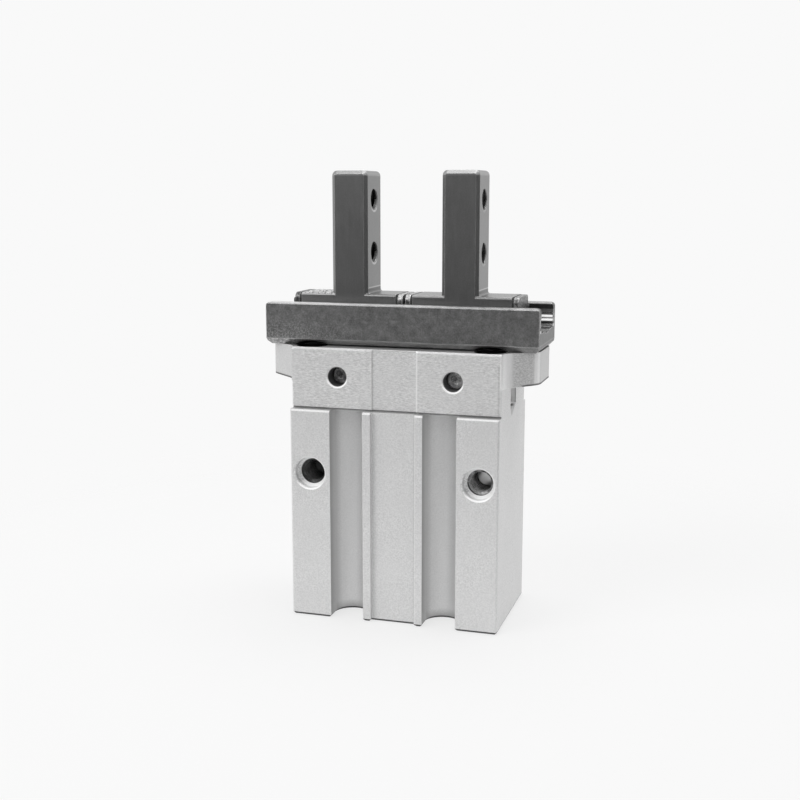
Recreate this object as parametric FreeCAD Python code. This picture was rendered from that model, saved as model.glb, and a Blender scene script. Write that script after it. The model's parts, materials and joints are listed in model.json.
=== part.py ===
import FreeCAD, Part
import math
import os

# Pneumatic parallel gripper, in millimetres.
# X is the direction in which the fingers move, -Y is the front, Z points to the finger tips.
# The origin is the centre of the body's lower face. The model is the closed position.

V = FreeCAD.Vector

# Body, an extruded and milled aluminium block
body_width = 42.0
body_depth = 25.0
body_height = 54.2
upper_height = 12.15        # of the upper block, above the full-depth lower one
upper_setback = 1.3         # the upper block stands this far behind the lower one, front and back
seam_relief_height = 0.45   # of the undercut at the foot of the upper block
seam_relief_depth = 0.6
edge_break = 0.3
foot_chamfer = 0.4          # around the lower face
ear_height = 6.7
ear_rise = 0.5              # of an ear's underside, from its root to its end
ear_flank_angle = 32.0      # degrees, between an ear's flank and the front face
ear_root_radius = 3.3
ear_corner_radius = 2.4

# Sensor grooves and the recessed strip between them, on the front and the back
groove_spacing = 18.8
groove_width = 6.75
groove_depth = 6.5
strip_width = 8.9
strip_depth = 0.9
upper_strip_depth = 0.25

# Mounting threads and air ports, each thread at its nominal diameter
side_thread_spacing = 34.0
side_thread_drop = 24.8     # from the body's top to the threads' axes
side_thread = 5.0
side_thread_depth = 9.0
side_bore = 6.2             # plain bore in front of each side thread
side_bore_depth = 1.5
side_hole = 4.2             # goes right through between the two threads
rear_thread_spacing_x = 34.0
rear_thread_spacing_y = 15.0
rear_thread = 4.0
rear_thread_depth = 8.0
port_thread = 5.0
port_depth = 5.5
port_passage = 2.0
port_offset = 2.0           # from each end of the cylinder chamber to the port's axis

# Cylinder
bore = 16.0
cap_seat = 17.6
cap_recess = 1.5            # from the body's lower face to the snap ring
snap_ring_thickness = 1.0
snap_ring_width = 1.5
snap_groove_depth = 0.5
snap_ring_gap = 60.0        # degrees
cap_thickness = 3.5
pull_thread = 3.0
o_ring_section = 1.5
rear_bumper_thickness = 1.0
rear_bumper_outer = 11.0
rear_bumper_inner = 7.0
front_bumper_thickness = 1.2
front_bumper_outer = 12.5
piston_nose = 2.5           # length of the turned-down ends that keep the ports open
piston_nose_diameter = 13.0
wear_ring_width = 3.0
wear_ring_thickness = 1.0
magnet_width = 4.0
magnet_thickness = 1.8
seal_width = 2.6
seal_thickness = 2.0
rod_diameter = 6.0
rod_seat_depth = 6.0
piston_bolt_diameter = 3.0
piston_bolt_head = 5.5
piston_bolt_head_height = 3.0
piston_bolt_engagement = 6.0
retainer_diameter = 12.0
retainer_thickness = 0.8
rod_seal_diameter = 10.0
rod_seal_height = 2.0
bush_diameter = 8.0
bush_height = 3.0
bush_sink = 0.2             # from the lever slot's floor down to the bush

# Levers and the joint that drives them
slot_width = 5.2
slot_depth = 11.1           # from the body's top
slot_end_play = 0.25        # between the lever's boss and the round end of its slot
window_depth = 1.0          # of the milled pocket under each ear, in line with the slot
runout_height = 2.2
runout_depth = 0.8
lever_thickness = 4.6
shaft_spacing = 23.2
shaft_drop = 5.6            # from the body's top to the shafts' axes
shaft_diameter = 3.6
shaft_length = 17.0
shaft_centre = 1.4          # diameter of the centre drilled in each end
lever_boss_radius = 2.9
upper_arm = 12.1
inner_arm = 7.5
lobe_radius = 1.7
arm_root_half = 1.9
arm_tip_half = 0.85
closed_lean = 4.1           # how far the upper lobe stands inside its shaft when closed
joint_length = 10.8
joint_thickness = 4.6
joint_foot = 1.6
joint_head = 1.8
joint_bolt_diameter = 2.4
joint_bolt_head = 3.8
joint_bolt_head_height = 1.4
joint_bolt_engagement = 5.0

# Guide rail
rail_length = 54.8
rail_overhang = 0.25        # beyond each ear
rail_depth = 17.0
rail_height = 8.4
rail_wall = 2.2
rail_floor = 3.6
rail_chamfer = 1.2
rail_end_chamfer = 0.7
rail_end_radius = 0.8       # at the upper corners of the walls' ends
rail_relief_width = 4.0
rail_relief_depth = 0.4
rail_lip_depth = 2.0        # the underside's front and back lips, between the screws, clear the body
rail_lip_gap = 0.3
rail_screw_inset = 9.4      # from the rail's end to the screw's axis
rail_screw_diameter = 3.0
rail_screw_head = 5.6
rail_screw_length = 9.0
rail_pocket_radius = 8.25
rail_pocket_depth = 0.9
relief_hole = 6.2           # blind holes in the body's top that meet the rail's pockets, front and back
relief_hole_depth = 3.0
relief_hole_wall = 0.5      # between such a hole and the upper block's face
ball_diameter = 1.8
ball_count = 7
ball_pitch = 2.1
ball_height = 1.9           # from the channel floor to the ball centres

# Fingers
finger_travel = 5.0
finger_gap = 15.0           # between the uprights when closed
finger_width = 7.3
finger_depth = 9.2
finger_height = 23.8        # of the upright, above its base
finger_edge = 0.65
finger_tip_radius = 1.0
finger_root_radius = 0.5
finger_thread = 4.0
finger_thread_mouth = 4.3
finger_thread_spacing = 10.3
finger_thread_height = 8.0  # from the top of the base to the lower thread
base_inset = 6.1            # from the rail's end to the base's outer end when closed
base_rise = 1.7             # the base stands this far above the rail
base_edge_radius = 0.5      # along the upper edges of the base
base_drop = 0.5             # the wide foot of the base stays this far below the rail's top
end_seal_thickness = 0.45
end_plate_thickness = 0.95
end_corner_radius = 1.2
centre_gap = 0.6            # between the two inner end plates when closed
plate_screw_diameter = 1.6
plate_screw_head = 2.6
plate_screw_spacing = 6.4
plate_screw_length = 5.0

# Clearances
static_fit = 0.03           # radial, between pieces that are fixed together
running_fit = 0.05          # radial, at shafts, rods and the piston
ball_fit = 0.03
lobe_fit = 0.08             # at each side of a lever lobe
side_play = 0.4             # between a finger and the rail channel, each side
floor_play = 0.4            # between a finger and the channel floor
passage_play = 0.6          # around a lever arm in the rail's floor
stop_play = 0.1             # between the piston and the front bumper when open
overrun = 1.0               # cutting tools pass the surface by this much

# Heights that follow the body's top, and the ears that follow the rail
seam_height = body_height - upper_height
shaft_height = body_height - shaft_drop
slot_floor = body_height - slot_depth
side_thread_height = body_height - side_thread_drop
ear_bottom = body_height - ear_height
ear_reach = (rail_length - body_width) / 2 - rail_overhang
rail_screw_x = rail_length / 2 - rail_screw_inset

# Lever geometry: angles from the finger travel, piston stroke from the inner arm
closed_angle = math.asin(closed_lean / upper_arm)
open_angle = math.asin((finger_travel - closed_lean) / upper_arm)
lever_swing = closed_angle + open_angle
piston_stroke = 2 * inner_arm * math.sin(lever_swing / 2)
shaft_x = shaft_spacing / 2
upper_lobe_x = shaft_x - closed_lean
upper_lobe_z = shaft_height + upper_arm * math.cos(closed_angle)
upper_lobe_top = shaft_height + upper_arm
inner_lobe_x = shaft_x - inner_arm * math.cos(lever_swing / 2)
inner_lobe_z = shaft_height - inner_arm * math.sin(lever_swing / 2)

# Heights along the cylinder: the cap follows the lower face, the rod's guide the lever slot, and the piston
# fills what is left of the chamber after its stroke
cap_bottom = cap_recess + snap_ring_thickness
cap_top = cap_bottom + cap_thickness
piston_bottom = cap_top + rear_bumper_thickness
bush_top = slot_floor - bush_sink
rod_seal_top = bush_top - bush_height
retainer_top = rod_seal_top - rod_seal_height
chamber_top = retainer_top - retainer_thickness
piston_top = chamber_top - front_bumper_thickness - stop_play - piston_stroke
ring_widths = wear_ring_width + magnet_width + seal_width
groove_land = (piston_top - piston_bottom - 2 * piston_nose - ring_widths) / 4
joint_bottom = inner_lobe_z - lobe_radius - lobe_fit - joint_foot
joint_top = inner_lobe_z + lobe_radius + lobe_fit + joint_head
joint_open_bottom = joint_bottom + piston_stroke
rod_bottom = piston_top - rod_seat_depth

# Heights of the rail and the fingers
rail_bottom = body_height
rail_top = rail_bottom + rail_height
channel_floor = rail_bottom + rail_floor
channel_half = rail_depth / 2 - rail_wall
ball_z = channel_floor + ball_height
base_bottom = channel_floor + floor_play
foot_top = rail_top - base_drop
foot_half = channel_half - side_play
base_top = rail_top + base_rise
finger_tip = base_top + finger_height
ball_y = (foot_half + channel_half) / 2
upright_inner = finger_gap / 2
upright_outer = upright_inner + finger_width
inner_plate_face = centre_gap / 2
base_inner = inner_plate_face + end_plate_thickness + end_seal_thickness
base_outer = rail_length / 2 - base_inset
base_centre = (base_inner + base_outer) / 2


# Shape helpers

def box(x0, x1, y0, y1, z0, z1):
    return Part.makeBox(x1 - x0, y1 - y0, z1 - z0, V(x0, y0, z0))


def rod_z(diameter, z0, z1, x=0.0, y=0.0):
    return Part.makeCylinder(diameter / 2, z1 - z0, V(x, y, z0))


def rod_x(diameter, x0, x1, y, z):
    return Part.makeCylinder(diameter / 2, x1 - x0, V(x0, y, z), V(1, 0, 0))


def rod_y(diameter, y0, y1, x, z):
    return Part.makeCylinder(diameter / 2, y1 - y0, V(x, y0, z), V(0, 1, 0))


def fixed_hole(diameter):
    """The diameter of the hole or seat in which a round piece is fixed."""
    return diameter + 2 * static_fit


def running_hole(diameter):
    """The diameter of the hole in which a round piece turns or slides."""
    return diameter + 2 * running_fit


def ring(outer, inner, z0, z1):
    return rod_z(outer, z0, z1).cut(rod_z(inner, z0 - overrun, z1 + overrun))


def cone(base, direction, wide, narrow):
    """A 90 degree countersink: wide at its base and narrow further along its direction."""
    depth = (wide - narrow) / 2
    return Part.makeCone(wide / 2, narrow / 2, depth, base, direction)


def drilled(base, direction, diameter, depth, mouth):
    """A blind threaded hole with its drill point and its countersunk mouth."""
    hole = Part.makeCylinder(diameter / 2, depth, base, direction)
    point = Part.makeCone(diameter / 2, 0, diameter / 4, base + direction * depth, direction)
    return hole.fuse([point, cone(base, direction, mouth, diameter)])


def prism(points, along):
    wire = Part.makePolygon(points + [points[0]])
    return Part.Face(wire).extrude(along)


def line(start, end):
    return Part.LineSegment(start, end).toShape()


def arc(start, middle, end):
    return Part.Arc(start, middle, end).toShape()


def mirrored(shape):
    return shape.mirror(V(0, 0, 0), V(1, 0, 0))


def tidy(shape):
    return shape.removeSplitter()


def rounded_plan(half_x, half_y, cut, z0, z1):
    """An upright block whose four vertical edges are broken."""
    points = []
    for sx, sy in ((-1, -1), (1, -1), (1, 1), (-1, 1)):
        long_side = V(sx * (half_x - cut), sy * half_y, z0)
        short_side = V(sx * half_x, sy * (half_y - cut), z0)
        points += [long_side, short_side] if sx * sy < 0 else [short_side, long_side]
    return prism(points, V(0, 0, z1 - z0))


# Body

def ear_quarter(sx, sy):
    """A quarter of the ears' plan: hollow root, straight flank, rounded corner and half of the end."""
    half_x = body_width / 2
    half_y = body_depth / 2 - upper_setback
    flank = math.radians(ear_flank_angle)
    turn = math.pi / 2 - flank
    tangent = ear_corner_radius * math.tan(turn / 2)

    def hollow(angle):
        along = ear_root_radius * (1 - math.cos(angle))
        return half_x + along, half_y - ear_root_radius * math.sin(angle)

    end_x = half_x + ear_reach
    root_x, root_y = hollow(turn)
    tip_y = root_y - (end_x - root_x) * math.tan(flank)
    centre_x = end_x - ear_corner_radius
    centre_y = tip_y - tangent

    def corner(angle):
        along = ear_corner_radius * math.cos(angle)
        return centre_x + along, centre_y + ear_corner_radius * math.sin(angle)

    plan = [hollow(0), hollow(turn / 2), hollow(turn), corner(turn), corner(turn / 2), corner(0), (end_x, 0)]
    p = [V(sx * x, sy * y, ear_bottom) for x, y in plan]
    return [arc(p[0], p[1], p[2]), line(p[2], p[3]), arc(p[3], p[4], p[5]), line(p[5], p[6])]


def ear_block():
    """The upper part of the block with both ears, as one plan."""
    half_x = body_width / 2
    half_y = body_depth / 2 - upper_setback
    edges = []
    for sy in (-1, 1):
        edges.append(line(V(-half_x, sy * half_y, ear_bottom), V(half_x, sy * half_y, ear_bottom)))
        for sx in (-1, 1):
            edges += ear_quarter(sx, sy)
    wire = Part.Wire(Part.__sortEdges__(edges))
    block = Part.Face(wire).extrude(V(0, 0, ear_height))
    cuts = []
    for sx in (-1, 1):
        root = V(sx * half_x, -half_y, ear_bottom)
        end = V(sx * (half_x + ear_reach), -half_y, ear_bottom)
        cuts.append(prism([root, end, end + V(0, 0, ear_rise)], V(0, 2 * half_y, 0)))
    return block.cut(cuts)


def sensor_groove(x, side):
    """A round-bottomed groove that is open to the front or to the back."""
    face = body_depth / 2
    middle = face - groove_depth + groove_width / 2
    outside = face + overrun
    y0, y1 = sorted((side * middle, side * outside))
    half = groove_width / 2
    top = seam_height + overrun
    channel = box(x - half, x + half, y0, y1, -overrun, top)
    return channel.fuse(rod_z(groove_width, -overrun, top, x, side * middle))


def strip_cut(side, face, depth, z0, z1):
    """The recessed strip between the grooves, on one block's front or back face."""
    half = strip_width / 2
    y0, y1 = sorted((side * (face - depth), side * (face + overrun)))
    return box(-half, half, y0, y1, z0, z1)


def lever_slot():
    """The slot for levers and joint, open at the top, and a milled pocket in line with it under each ear."""
    half = slot_width / 2
    corner = math.sqrt(half ** 2 - (lever_thickness / 2) ** 2)
    reach = shaft_x + lever_boss_radius + slot_end_play - corner
    top = body_height + overrun
    slot = box(-reach, reach, -half, half, slot_floor, top)
    side = body_width / 2
    cuts = [slot]
    for sx in (-1, 1):
        x0, x1 = sorted((sx * (side - window_depth), sx * (side + overrun)))
        cuts.append(box(x0, x1, -half, half, slot_floor, ear_bottom))
        cuts.append(rod_z(slot_width, slot_floor, top, sx * reach))
        runout = prism(
            [
                V(sx * side, -half, slot_floor),
                V(sx * side, half, slot_floor),
                V(sx * side, -half / 2, slot_floor - runout_height),
            ],
            V(-sx * runout_depth, 0, 0),
        )
        cuts.append(runout)
    return cuts


def bore_cuts():
    cuts = [
        rod_z(cap_seat, -overrun, cap_top),
        rod_z(cap_seat + 2 * snap_groove_depth, cap_recess, cap_bottom),
        rod_z(bore, cap_top - overrun, chamber_top),
        rod_z(fixed_hole(retainer_diameter), chamber_top - overrun, retainer_top),
        rod_z(fixed_hole(rod_seal_diameter), retainer_top - overrun, rod_seal_top),
        rod_z(fixed_hole(bush_diameter), rod_seal_top - overrun, joint_open_bottom + overrun),
    ]
    return cuts


def thread_cuts():
    face = body_depth / 2
    side = body_width / 2
    cuts = []
    for sx in (-1, 1):
        x = sx * side_thread_spacing / 2
        cuts.append(rod_y(side_hole, -face, face, x, side_thread_height))
        for sy in (-1, 1):
            base = V(x, sy * face, side_thread_height)
            inwards = V(0, -sy, 0)
            cuts.append(Part.makeCylinder(side_thread / 2, side_thread_depth, base, inwards))
            cuts.append(Part.makeCylinder(side_bore / 2, side_bore_depth, base, inwards))
            cuts.append(cone(base, inwards, side_bore + 2 * edge_break, side_bore))
            cuts.append(cone(base + inwards * side_bore_depth, inwards, side_bore, side_thread))
            base = V(sx * rear_thread_spacing_x / 2, sy * rear_thread_spacing_y / 2, 0)
            mouth = rear_thread + 2 * edge_break
            cuts.append(drilled(base, V(0, 0, 1), rear_thread, rear_thread_depth, mouth))
        shaft_hole = running_hole(shaft_diameter)
        cuts.append(rod_y(shaft_hole, -face, face, sx * shaft_x, shaft_height))
        for sy in (-1, 1):
            base = V(sx * shaft_x, sy * (face - upper_setback), shaft_height)
            cuts.append(cone(base, V(0, -sy, 0), shaft_hole + 2 * edge_break, shaft_hole))
        screw_hole = fixed_hole(rail_screw_diameter)
        cuts.append(rod_z(screw_hole, ear_bottom, body_height + overrun, sx * rail_screw_x))
        for sy in (-1, 1):
            y = sy * (face - upper_setback - relief_hole_wall - relief_hole / 2)
            low = body_height - relief_hole_depth
            cuts.append(rod_z(relief_hole, low, body_height + overrun, sx * rail_screw_x, y))
    for z in (cap_top + port_offset, chamber_top - port_offset):
        mouth = port_thread + 2 * edge_break
        cuts.append(drilled(V(-side, 0, z), V(1, 0, 0), port_thread, port_depth, mouth))
        cuts.append(rod_x(port_passage, -side, 0, 0, z))
    return cuts


def broken_edge(side, half_y, z):
    """A cut along X that breaks the upper front or back edge of a block."""
    reach = body_width / 2
    y = side * half_y
    points = [
        V(-reach, y, z - edge_break),
        V(-reach, y - side * edge_break, z),
        V(-reach, y, z),
    ]
    return prism(points, V(2 * reach, 0, 0))


def seam_undercut(side):
    """A fine groove along the foot of the upper block's front or back face."""
    reach = body_width / 2
    face = body_depth / 2 - upper_setback
    y0, y1 = sorted((side * (face - seam_relief_depth), side * (face + overrun)))
    return box(-reach, reach, y0, y1, seam_height, seam_height + seam_relief_height)


def lower_block():
    """The full-depth lower block with its grooves, its recessed strips and the chamfer round its foot."""
    shape = rounded_plan(body_width / 2, body_depth / 2, edge_break, 0, seam_height)
    cuts = []
    for side in (-1, 1):
        cuts.append(strip_cut(side, body_depth / 2, strip_depth, -overrun, seam_height + overrun))
        for sx in (-1, 1):
            cuts.append(sensor_groove(sx * groove_spacing / 2, side))
    shape = tidy(shape.cut(cuts))
    foot = [e for e in shape.Edges if e.BoundBox.ZMax < foot_chamfer / 2]
    return shape.makeChamfer(foot_chamfer, foot)


def body():
    half_x = body_width / 2
    half_y = body_depth / 2
    upper_half = half_y - upper_setback
    upper = rounded_plan(half_x, upper_half, edge_break, seam_height, body_height)
    block = tidy(upper.fuse(ear_block()))
    cuts = []
    for side in (-1, 1):
        low = seam_height - overrun
        cuts.append(strip_cut(side, upper_half, upper_strip_depth, low, body_height + overrun))
        cuts.append(broken_edge(side, upper_half, body_height))
        cuts.append(seam_undercut(side))
    block = tidy(lower_block().fuse(block.cut(cuts)))
    edges = [broken_edge(side, half_y, seam_height) for side in (-1, 1)]
    return tidy(block.cut(edges + lever_slot() + bore_cuts() + thread_cuts()))


# Cylinder inner parts

def piston():
    """A turned piston with two noses, three ring grooves, the rod's seat and the bolt's seat."""
    diameter = bore - 2 * running_fit
    shape = rod_z(diameter, piston_bottom + piston_nose, piston_top - piston_nose)
    shape = shape.fuse(rod_z(piston_nose_diameter, piston_bottom, piston_top))
    cuts = []
    for z0, z1, thickness in ring_seats():
        seat = bore - 2 * thickness - 2 * static_fit
        cuts.append(ring(bore + overrun, seat, z0 - static_fit, z1 + static_fit))
    cuts.append(rod_z(fixed_hole(rod_diameter), rod_bottom, piston_top + overrun))
    cuts.append(rod_z(fixed_hole(piston_bolt_diameter), piston_bottom - overrun, rod_bottom + overrun))
    head_top = piston_bottom + piston_bolt_head_height + stop_play
    cuts.append(rod_z(fixed_hole(piston_bolt_head), piston_bottom - overrun, head_top))
    return tidy(shape.cut(cuts))


def ring_seats():
    """Lower end, upper end and radial thickness of the wear ring, the magnet and the seal."""
    seats = []
    z = piston_bottom + piston_nose + groove_land / 2
    for width, thickness in (
        (wear_ring_width, wear_ring_thickness),
        (magnet_width, magnet_thickness),
        (seal_width, seal_thickness),
    ):
        seats.append((z, z + width, thickness))
        z += width + groove_land
    return seats


def piston_ring(index):
    z0, z1, thickness = ring_seats()[index]
    return ring(bore - 2 * static_fit, bore - 2 * thickness, z0, z1)


def lipped_seal():
    """The piston seal, a ring with two lips that leave a hollow between them."""
    z0, z1, thickness = ring_seats()[2]
    outer = bore / 2 - static_fit
    inner = bore / 2 - thickness
    lip = (z1 - z0) / 4
    points = [
        V(inner, 0, z0),
        V(outer - lip, 0, z0),
        V(outer, 0, z0 + lip),
        V(outer - lip, 0, (z0 + z1) / 2),
        V(outer, 0, z1 - lip),
        V(outer - lip, 0, z1),
        V(inner, 0, z1),
    ]
    wire = Part.makePolygon(points + [points[0]])
    return Part.Face(wire).revolve(V(0, 0, 0), V(0, 0, 1), 360)


def bolt(shank, head, z_head, head_height, z_end):
    """A socket screw along Z: its head starts at z_head and its shank ends at z_end."""
    direction = 1 if z_end > z_head else -1
    z0, z1 = sorted((z_head, z_head + direction * head_height))
    s0, s1 = sorted((z_head, z_end))
    shape = rod_z(head, z0, z1).fuse(rod_z(shank, s0, s1))
    h0, h1 = sorted((z_head - direction * overrun, z_head + direction * head_height / 2))
    return tidy(shape.cut(hexagon(head / 2, h0, h1)))


def hexagon(across_flats, z0, z1, x=0.0, y=0.0):
    radius = across_flats / math.sqrt(3)
    points = []
    for k in range(6):
        turn = math.pi * k / 3
        points.append(V(x + radius * math.cos(turn), y + radius * math.sin(turn), z0))
    return prism(points, V(0, 0, z1 - z0))


def piston_bolt():
    z_head = piston_bottom + stop_play
    z_end = rod_bottom + piston_bolt_engagement
    return bolt(piston_bolt_diameter, piston_bolt_head, z_head, piston_bolt_head_height, z_end)


def joint_bolt():
    z_end = joint_bottom - joint_bolt_engagement
    return bolt(joint_bolt_diameter, joint_bolt_head, joint_top, joint_bolt_head_height, z_end)


def piston_rod():
    shape = rod_z(rod_diameter, rod_bottom, joint_bottom)
    lower_end = rod_bottom + piston_bolt_engagement + overrun
    upper_end = joint_bottom - joint_bolt_engagement - overrun
    lower = rod_z(fixed_hole(piston_bolt_diameter), rod_bottom - overrun, lower_end)
    upper = rod_z(fixed_hole(joint_bolt_diameter), upper_end, joint_bottom + overrun)
    return tidy(shape.cut([lower, upper]))


def rod_joint():
    """The block on the rod, with a notch at each side for the levers' inner lobes."""
    half_x = joint_length / 2
    half_y = joint_thickness / 2
    shape = box(-half_x, half_x, -half_y, half_y, joint_bottom, joint_top)
    notch_half = lobe_radius + lobe_fit
    notch_inner = shaft_x - inner_arm - notch_half
    cuts = []
    for sx in (-1, 1):
        x0, x1 = sorted((sx * notch_inner, sx * (half_x + overrun)))
        cuts.append(box(x0, x1, -half_y, half_y, inner_lobe_z - notch_half, inner_lobe_z + notch_half))
    cuts.append(rod_z(fixed_hole(joint_bolt_diameter), joint_bottom - overrun, joint_top + overrun))
    seat = joint_top - joint_bolt_head_height
    cuts.append(rod_z(fixed_hole(joint_bolt_head), seat, joint_top + overrun))
    return tidy(shape.cut(cuts))


def rod_seal():
    return ring(rod_seal_diameter, running_hole(rod_diameter), retainer_top, rod_seal_top)


def rod_bush():
    return ring(bush_diameter, running_hole(rod_diameter), rod_seal_top, bush_top)


def seal_retainer():
    return ring(retainer_diameter, rod_diameter + 4 * running_fit, chamber_top, retainer_top)


def front_bumper():
    bottom = chamber_top - front_bumper_thickness
    return ring(front_bumper_outer, rod_diameter + 8 * running_fit, bottom, chamber_top)


def rear_bumper():
    return ring(rear_bumper_outer, rear_bumper_inner, cap_top, piston_bottom)


def rear_cap():
    """The end cap, with its o-ring groove and a threaded hole to pull it out by."""
    shape = rod_z(cap_seat - 2 * static_fit, cap_bottom, cap_top)
    middle = (cap_bottom + cap_top) / 2
    half = o_ring_section / 2 + static_fit
    groove_bottom = cap_seat - 2 * o_ring_section - 2 * static_fit
    groove = ring(cap_seat + overrun, groove_bottom, middle - half, middle + half)
    mouth = pull_thread + 2 * edge_break
    pull = drilled(V(0, 0, cap_bottom), V(0, 0, 1), pull_thread, cap_thickness / 2, mouth)
    return tidy(shape.cut([groove, pull]))


def cap_o_ring():
    middle = (cap_bottom + cap_top) / 2
    section = o_ring_section / 2 - static_fit
    return Part.makeTorus(cap_seat / 2 - o_ring_section / 2 - static_fit, section, V(0, 0, middle))


def snap_ring():
    """An internal retaining ring, open at the front, with an eyed lug at each end."""
    z0 = cap_recess + static_fit
    z1 = cap_bottom - static_fit
    outer = cap_seat + 2 * snap_groove_depth - 2 * static_fit
    inner = cap_seat - 2 * snap_ring_width
    shape = ring(outer, inner, z0, z1)
    half_gap = math.radians(snap_ring_gap / 2)
    wedge = prism(
        [
            V(0, 0, z0 - overrun),
            V(-bore * math.tan(half_gap), -bore, z0 - overrun),
            V(bore * math.tan(half_gap), -bore, z0 - overrun),
        ],
        V(0, 0, z1 - z0 + 2 * overrun),
    )
    shape = shape.cut(wedge)
    lug_radius = snap_ring_width
    lug_circle = cap_seat / 2 - snap_ring_width
    for sx in (-1, 1):
        x = sx * lug_circle * math.sin(half_gap)
        y = -lug_circle * math.cos(half_gap)
        shape = shape.fuse(rod_z(2 * lug_radius, z0, z1, x, y))
        shape = shape.cut(rod_z(lug_radius, z0 - overrun, z1 + overrun, x, y))
    return tidy(shape)


# Levers

def tapered_arm(x, z):
    """A flat arm that narrows from the shaft to the lobe centre at x, z, measured from the shaft."""
    length = math.hypot(x, z)
    nx = -z / length
    nz = x / length
    y0 = -lever_thickness / 2
    points = []
    for along_x, along_z, half in ((0, 0, arm_root_half), (x, z, arm_tip_half)):
        points.append(V(shaft_x + along_x + nx * half, y0, shaft_height + along_z + nz * half))
    for along_x, along_z, half in ((x, z, arm_tip_half), (0, 0, arm_root_half)):
        points.append(V(shaft_x + along_x - nx * half, y0, shaft_height + along_z - nz * half))
    return prism(points, V(0, lever_thickness, 0))


def right_lever():
    """A bell crank: one lobe lies in the joint's notch, the other in the finger's slot."""
    half = lever_thickness / 2
    shape = rod_y(2 * lever_boss_radius, -half, half, shaft_x, shaft_height)
    pieces = []
    for x, z in ((inner_lobe_x, inner_lobe_z), (upper_lobe_x, upper_lobe_z)):
        pieces.append(tapered_arm(x - shaft_x, z - shaft_height))
        pieces.append(rod_y(2 * lobe_radius, -half, half, x, z))
    shape = shape.fuse(pieces)
    hole = rod_y(running_hole(shaft_diameter), -lever_thickness, lever_thickness, shaft_x, shaft_height)
    return tidy(shape.cut(hole))


def right_lever_shaft():
    half = shaft_length / 2
    shape = rod_y(shaft_diameter, -half, half, shaft_x, shaft_height)
    shape = shape.makeChamfer(edge_break, [e for e in shape.Edges if e.BoundBox.YLength < 0.001])
    ends = (V(shaft_x, -half, shaft_height), V(0, 1, 0)), (V(shaft_x, half, shaft_height), V(0, -1, 0))
    return shape.cut([cone(base, inwards, shaft_centre, 0) for base, inwards in ends])


# Guide rail

def rail_profile():
    """The channel's section: chamfered foot, upright walls and a shallow relief along the floor."""
    half = rail_depth / 2
    relief = rail_relief_width / 2
    right = [
        (half - rail_chamfer, rail_bottom),
        (half, rail_bottom + rail_chamfer),
        (half, rail_top - edge_break),
        (half - edge_break, rail_top),
        (channel_half + edge_break, rail_top),
        (channel_half, rail_top - edge_break),
        (channel_half, channel_floor),
        (relief, channel_floor),
        (relief - rail_relief_depth, channel_floor - rail_relief_depth),
    ]
    left = [(-y, z) for y, z in reversed(right)]
    return [V(-rail_length / 2, y, z) for y, z in right + left]


def rail_front_form():
    """The rail's outline from the front, with broken lower corners and rounded upper ones."""
    y = -rail_depth
    half = rail_length / 2
    radius = rail_end_radius
    diagonal = radius * (1 - math.sqrt(0.5))
    edges = []
    for sx in (-1, 1):
        foot = V(sx * (half - rail_end_chamfer), y, rail_bottom)
        low = V(sx * half, y, rail_bottom + rail_end_chamfer)
        high = V(sx * half, y, rail_top - radius)
        middle = V(sx * (half - diagonal), y, rail_top - diagonal)
        top = V(sx * (half - radius), y, rail_top)
        edges += [line(foot, low), line(low, high), arc(high, middle, top)]
        edges.append(line(V(0, y, rail_bottom), foot))
        edges.append(line(top, V(0, y, rail_top)))
    wire = Part.Wire(Part.__sortEdges__(edges))
    return Part.Face(wire).extrude(V(0, 2 * rail_depth, 0))


def rail_lip_cut(sy):
    """Clears the underside's front or back lip between the two screws."""
    half = rail_depth / 2
    y0, y1 = sorted((sy * (half - rail_chamfer - rail_lip_depth), sy * half))
    return box(-rail_screw_x, rail_screw_x, y0, y1, rail_bottom - overrun, rail_bottom + rail_lip_gap)


def arm_passage(sx):
    """The opening in the rail's floor through which a lever reaches its finger."""
    reach = arm_root_half / math.cos(closed_angle) + passage_play
    share = (channel_floor - shaft_height) / (upper_lobe_z - shaft_height)
    x_in = shaft_x - closed_lean * share - reach
    x_out = shaft_x + max(finger_travel - closed_lean, 0) + reach
    x0, x1 = sorted((sx * x_in, sx * x_out))
    half = slot_width / 2
    return box(x0, x1, -half, half, rail_bottom - overrun, channel_floor + overrun)


def guide_rail():
    shape = prism(rail_profile(), V(rail_length, 0, 0)).common(rail_front_form())
    cuts = []
    for sy in (-1, 1):
        cuts.append(rod_x(ball_diameter + 2 * ball_fit, -rail_length, rail_length, sy * ball_y, ball_z))
        cuts.append(rail_lip_cut(sy))
    for sx in (-1, 1):
        x = sx * rail_screw_x
        cuts.append(arm_passage(sx))
        hole = fixed_hole(rail_screw_diameter)
        cuts.append(rod_z(hole, rail_bottom - overrun, channel_floor + overrun, x))
        head = fixed_hole(rail_screw_head)
        cuts.append(cone(V(x, 0, channel_floor - rail_relief_depth), V(0, 0, -1), head, hole))
        cuts.append(rod_z(head, channel_floor - rail_relief_depth, channel_floor + overrun, x))
        pocket_top = rail_bottom + rail_pocket_depth
        cuts.append(rod_z(2 * rail_pocket_radius, rail_bottom - overrun, pocket_top, x))
    return tidy(shape.cut(cuts))


def rail_screws():
    solids = []
    top = channel_floor - rail_relief_depth
    for sx in (-1, 1):
        x = sx * rail_screw_x
        shank = rod_z(rail_screw_diameter, top - rail_screw_length, top, x)
        head = cone(V(x, 0, top), V(0, 0, -1), rail_screw_head, rail_screw_diameter)
        socket = hexagon(rail_screw_diameter / 2, top - rail_screw_diameter / 2, top + overrun, x)
        solids.append(tidy(shank.fuse(head).cut(socket)))
    return Part.makeCompound(solids)


# Fingers

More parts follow.
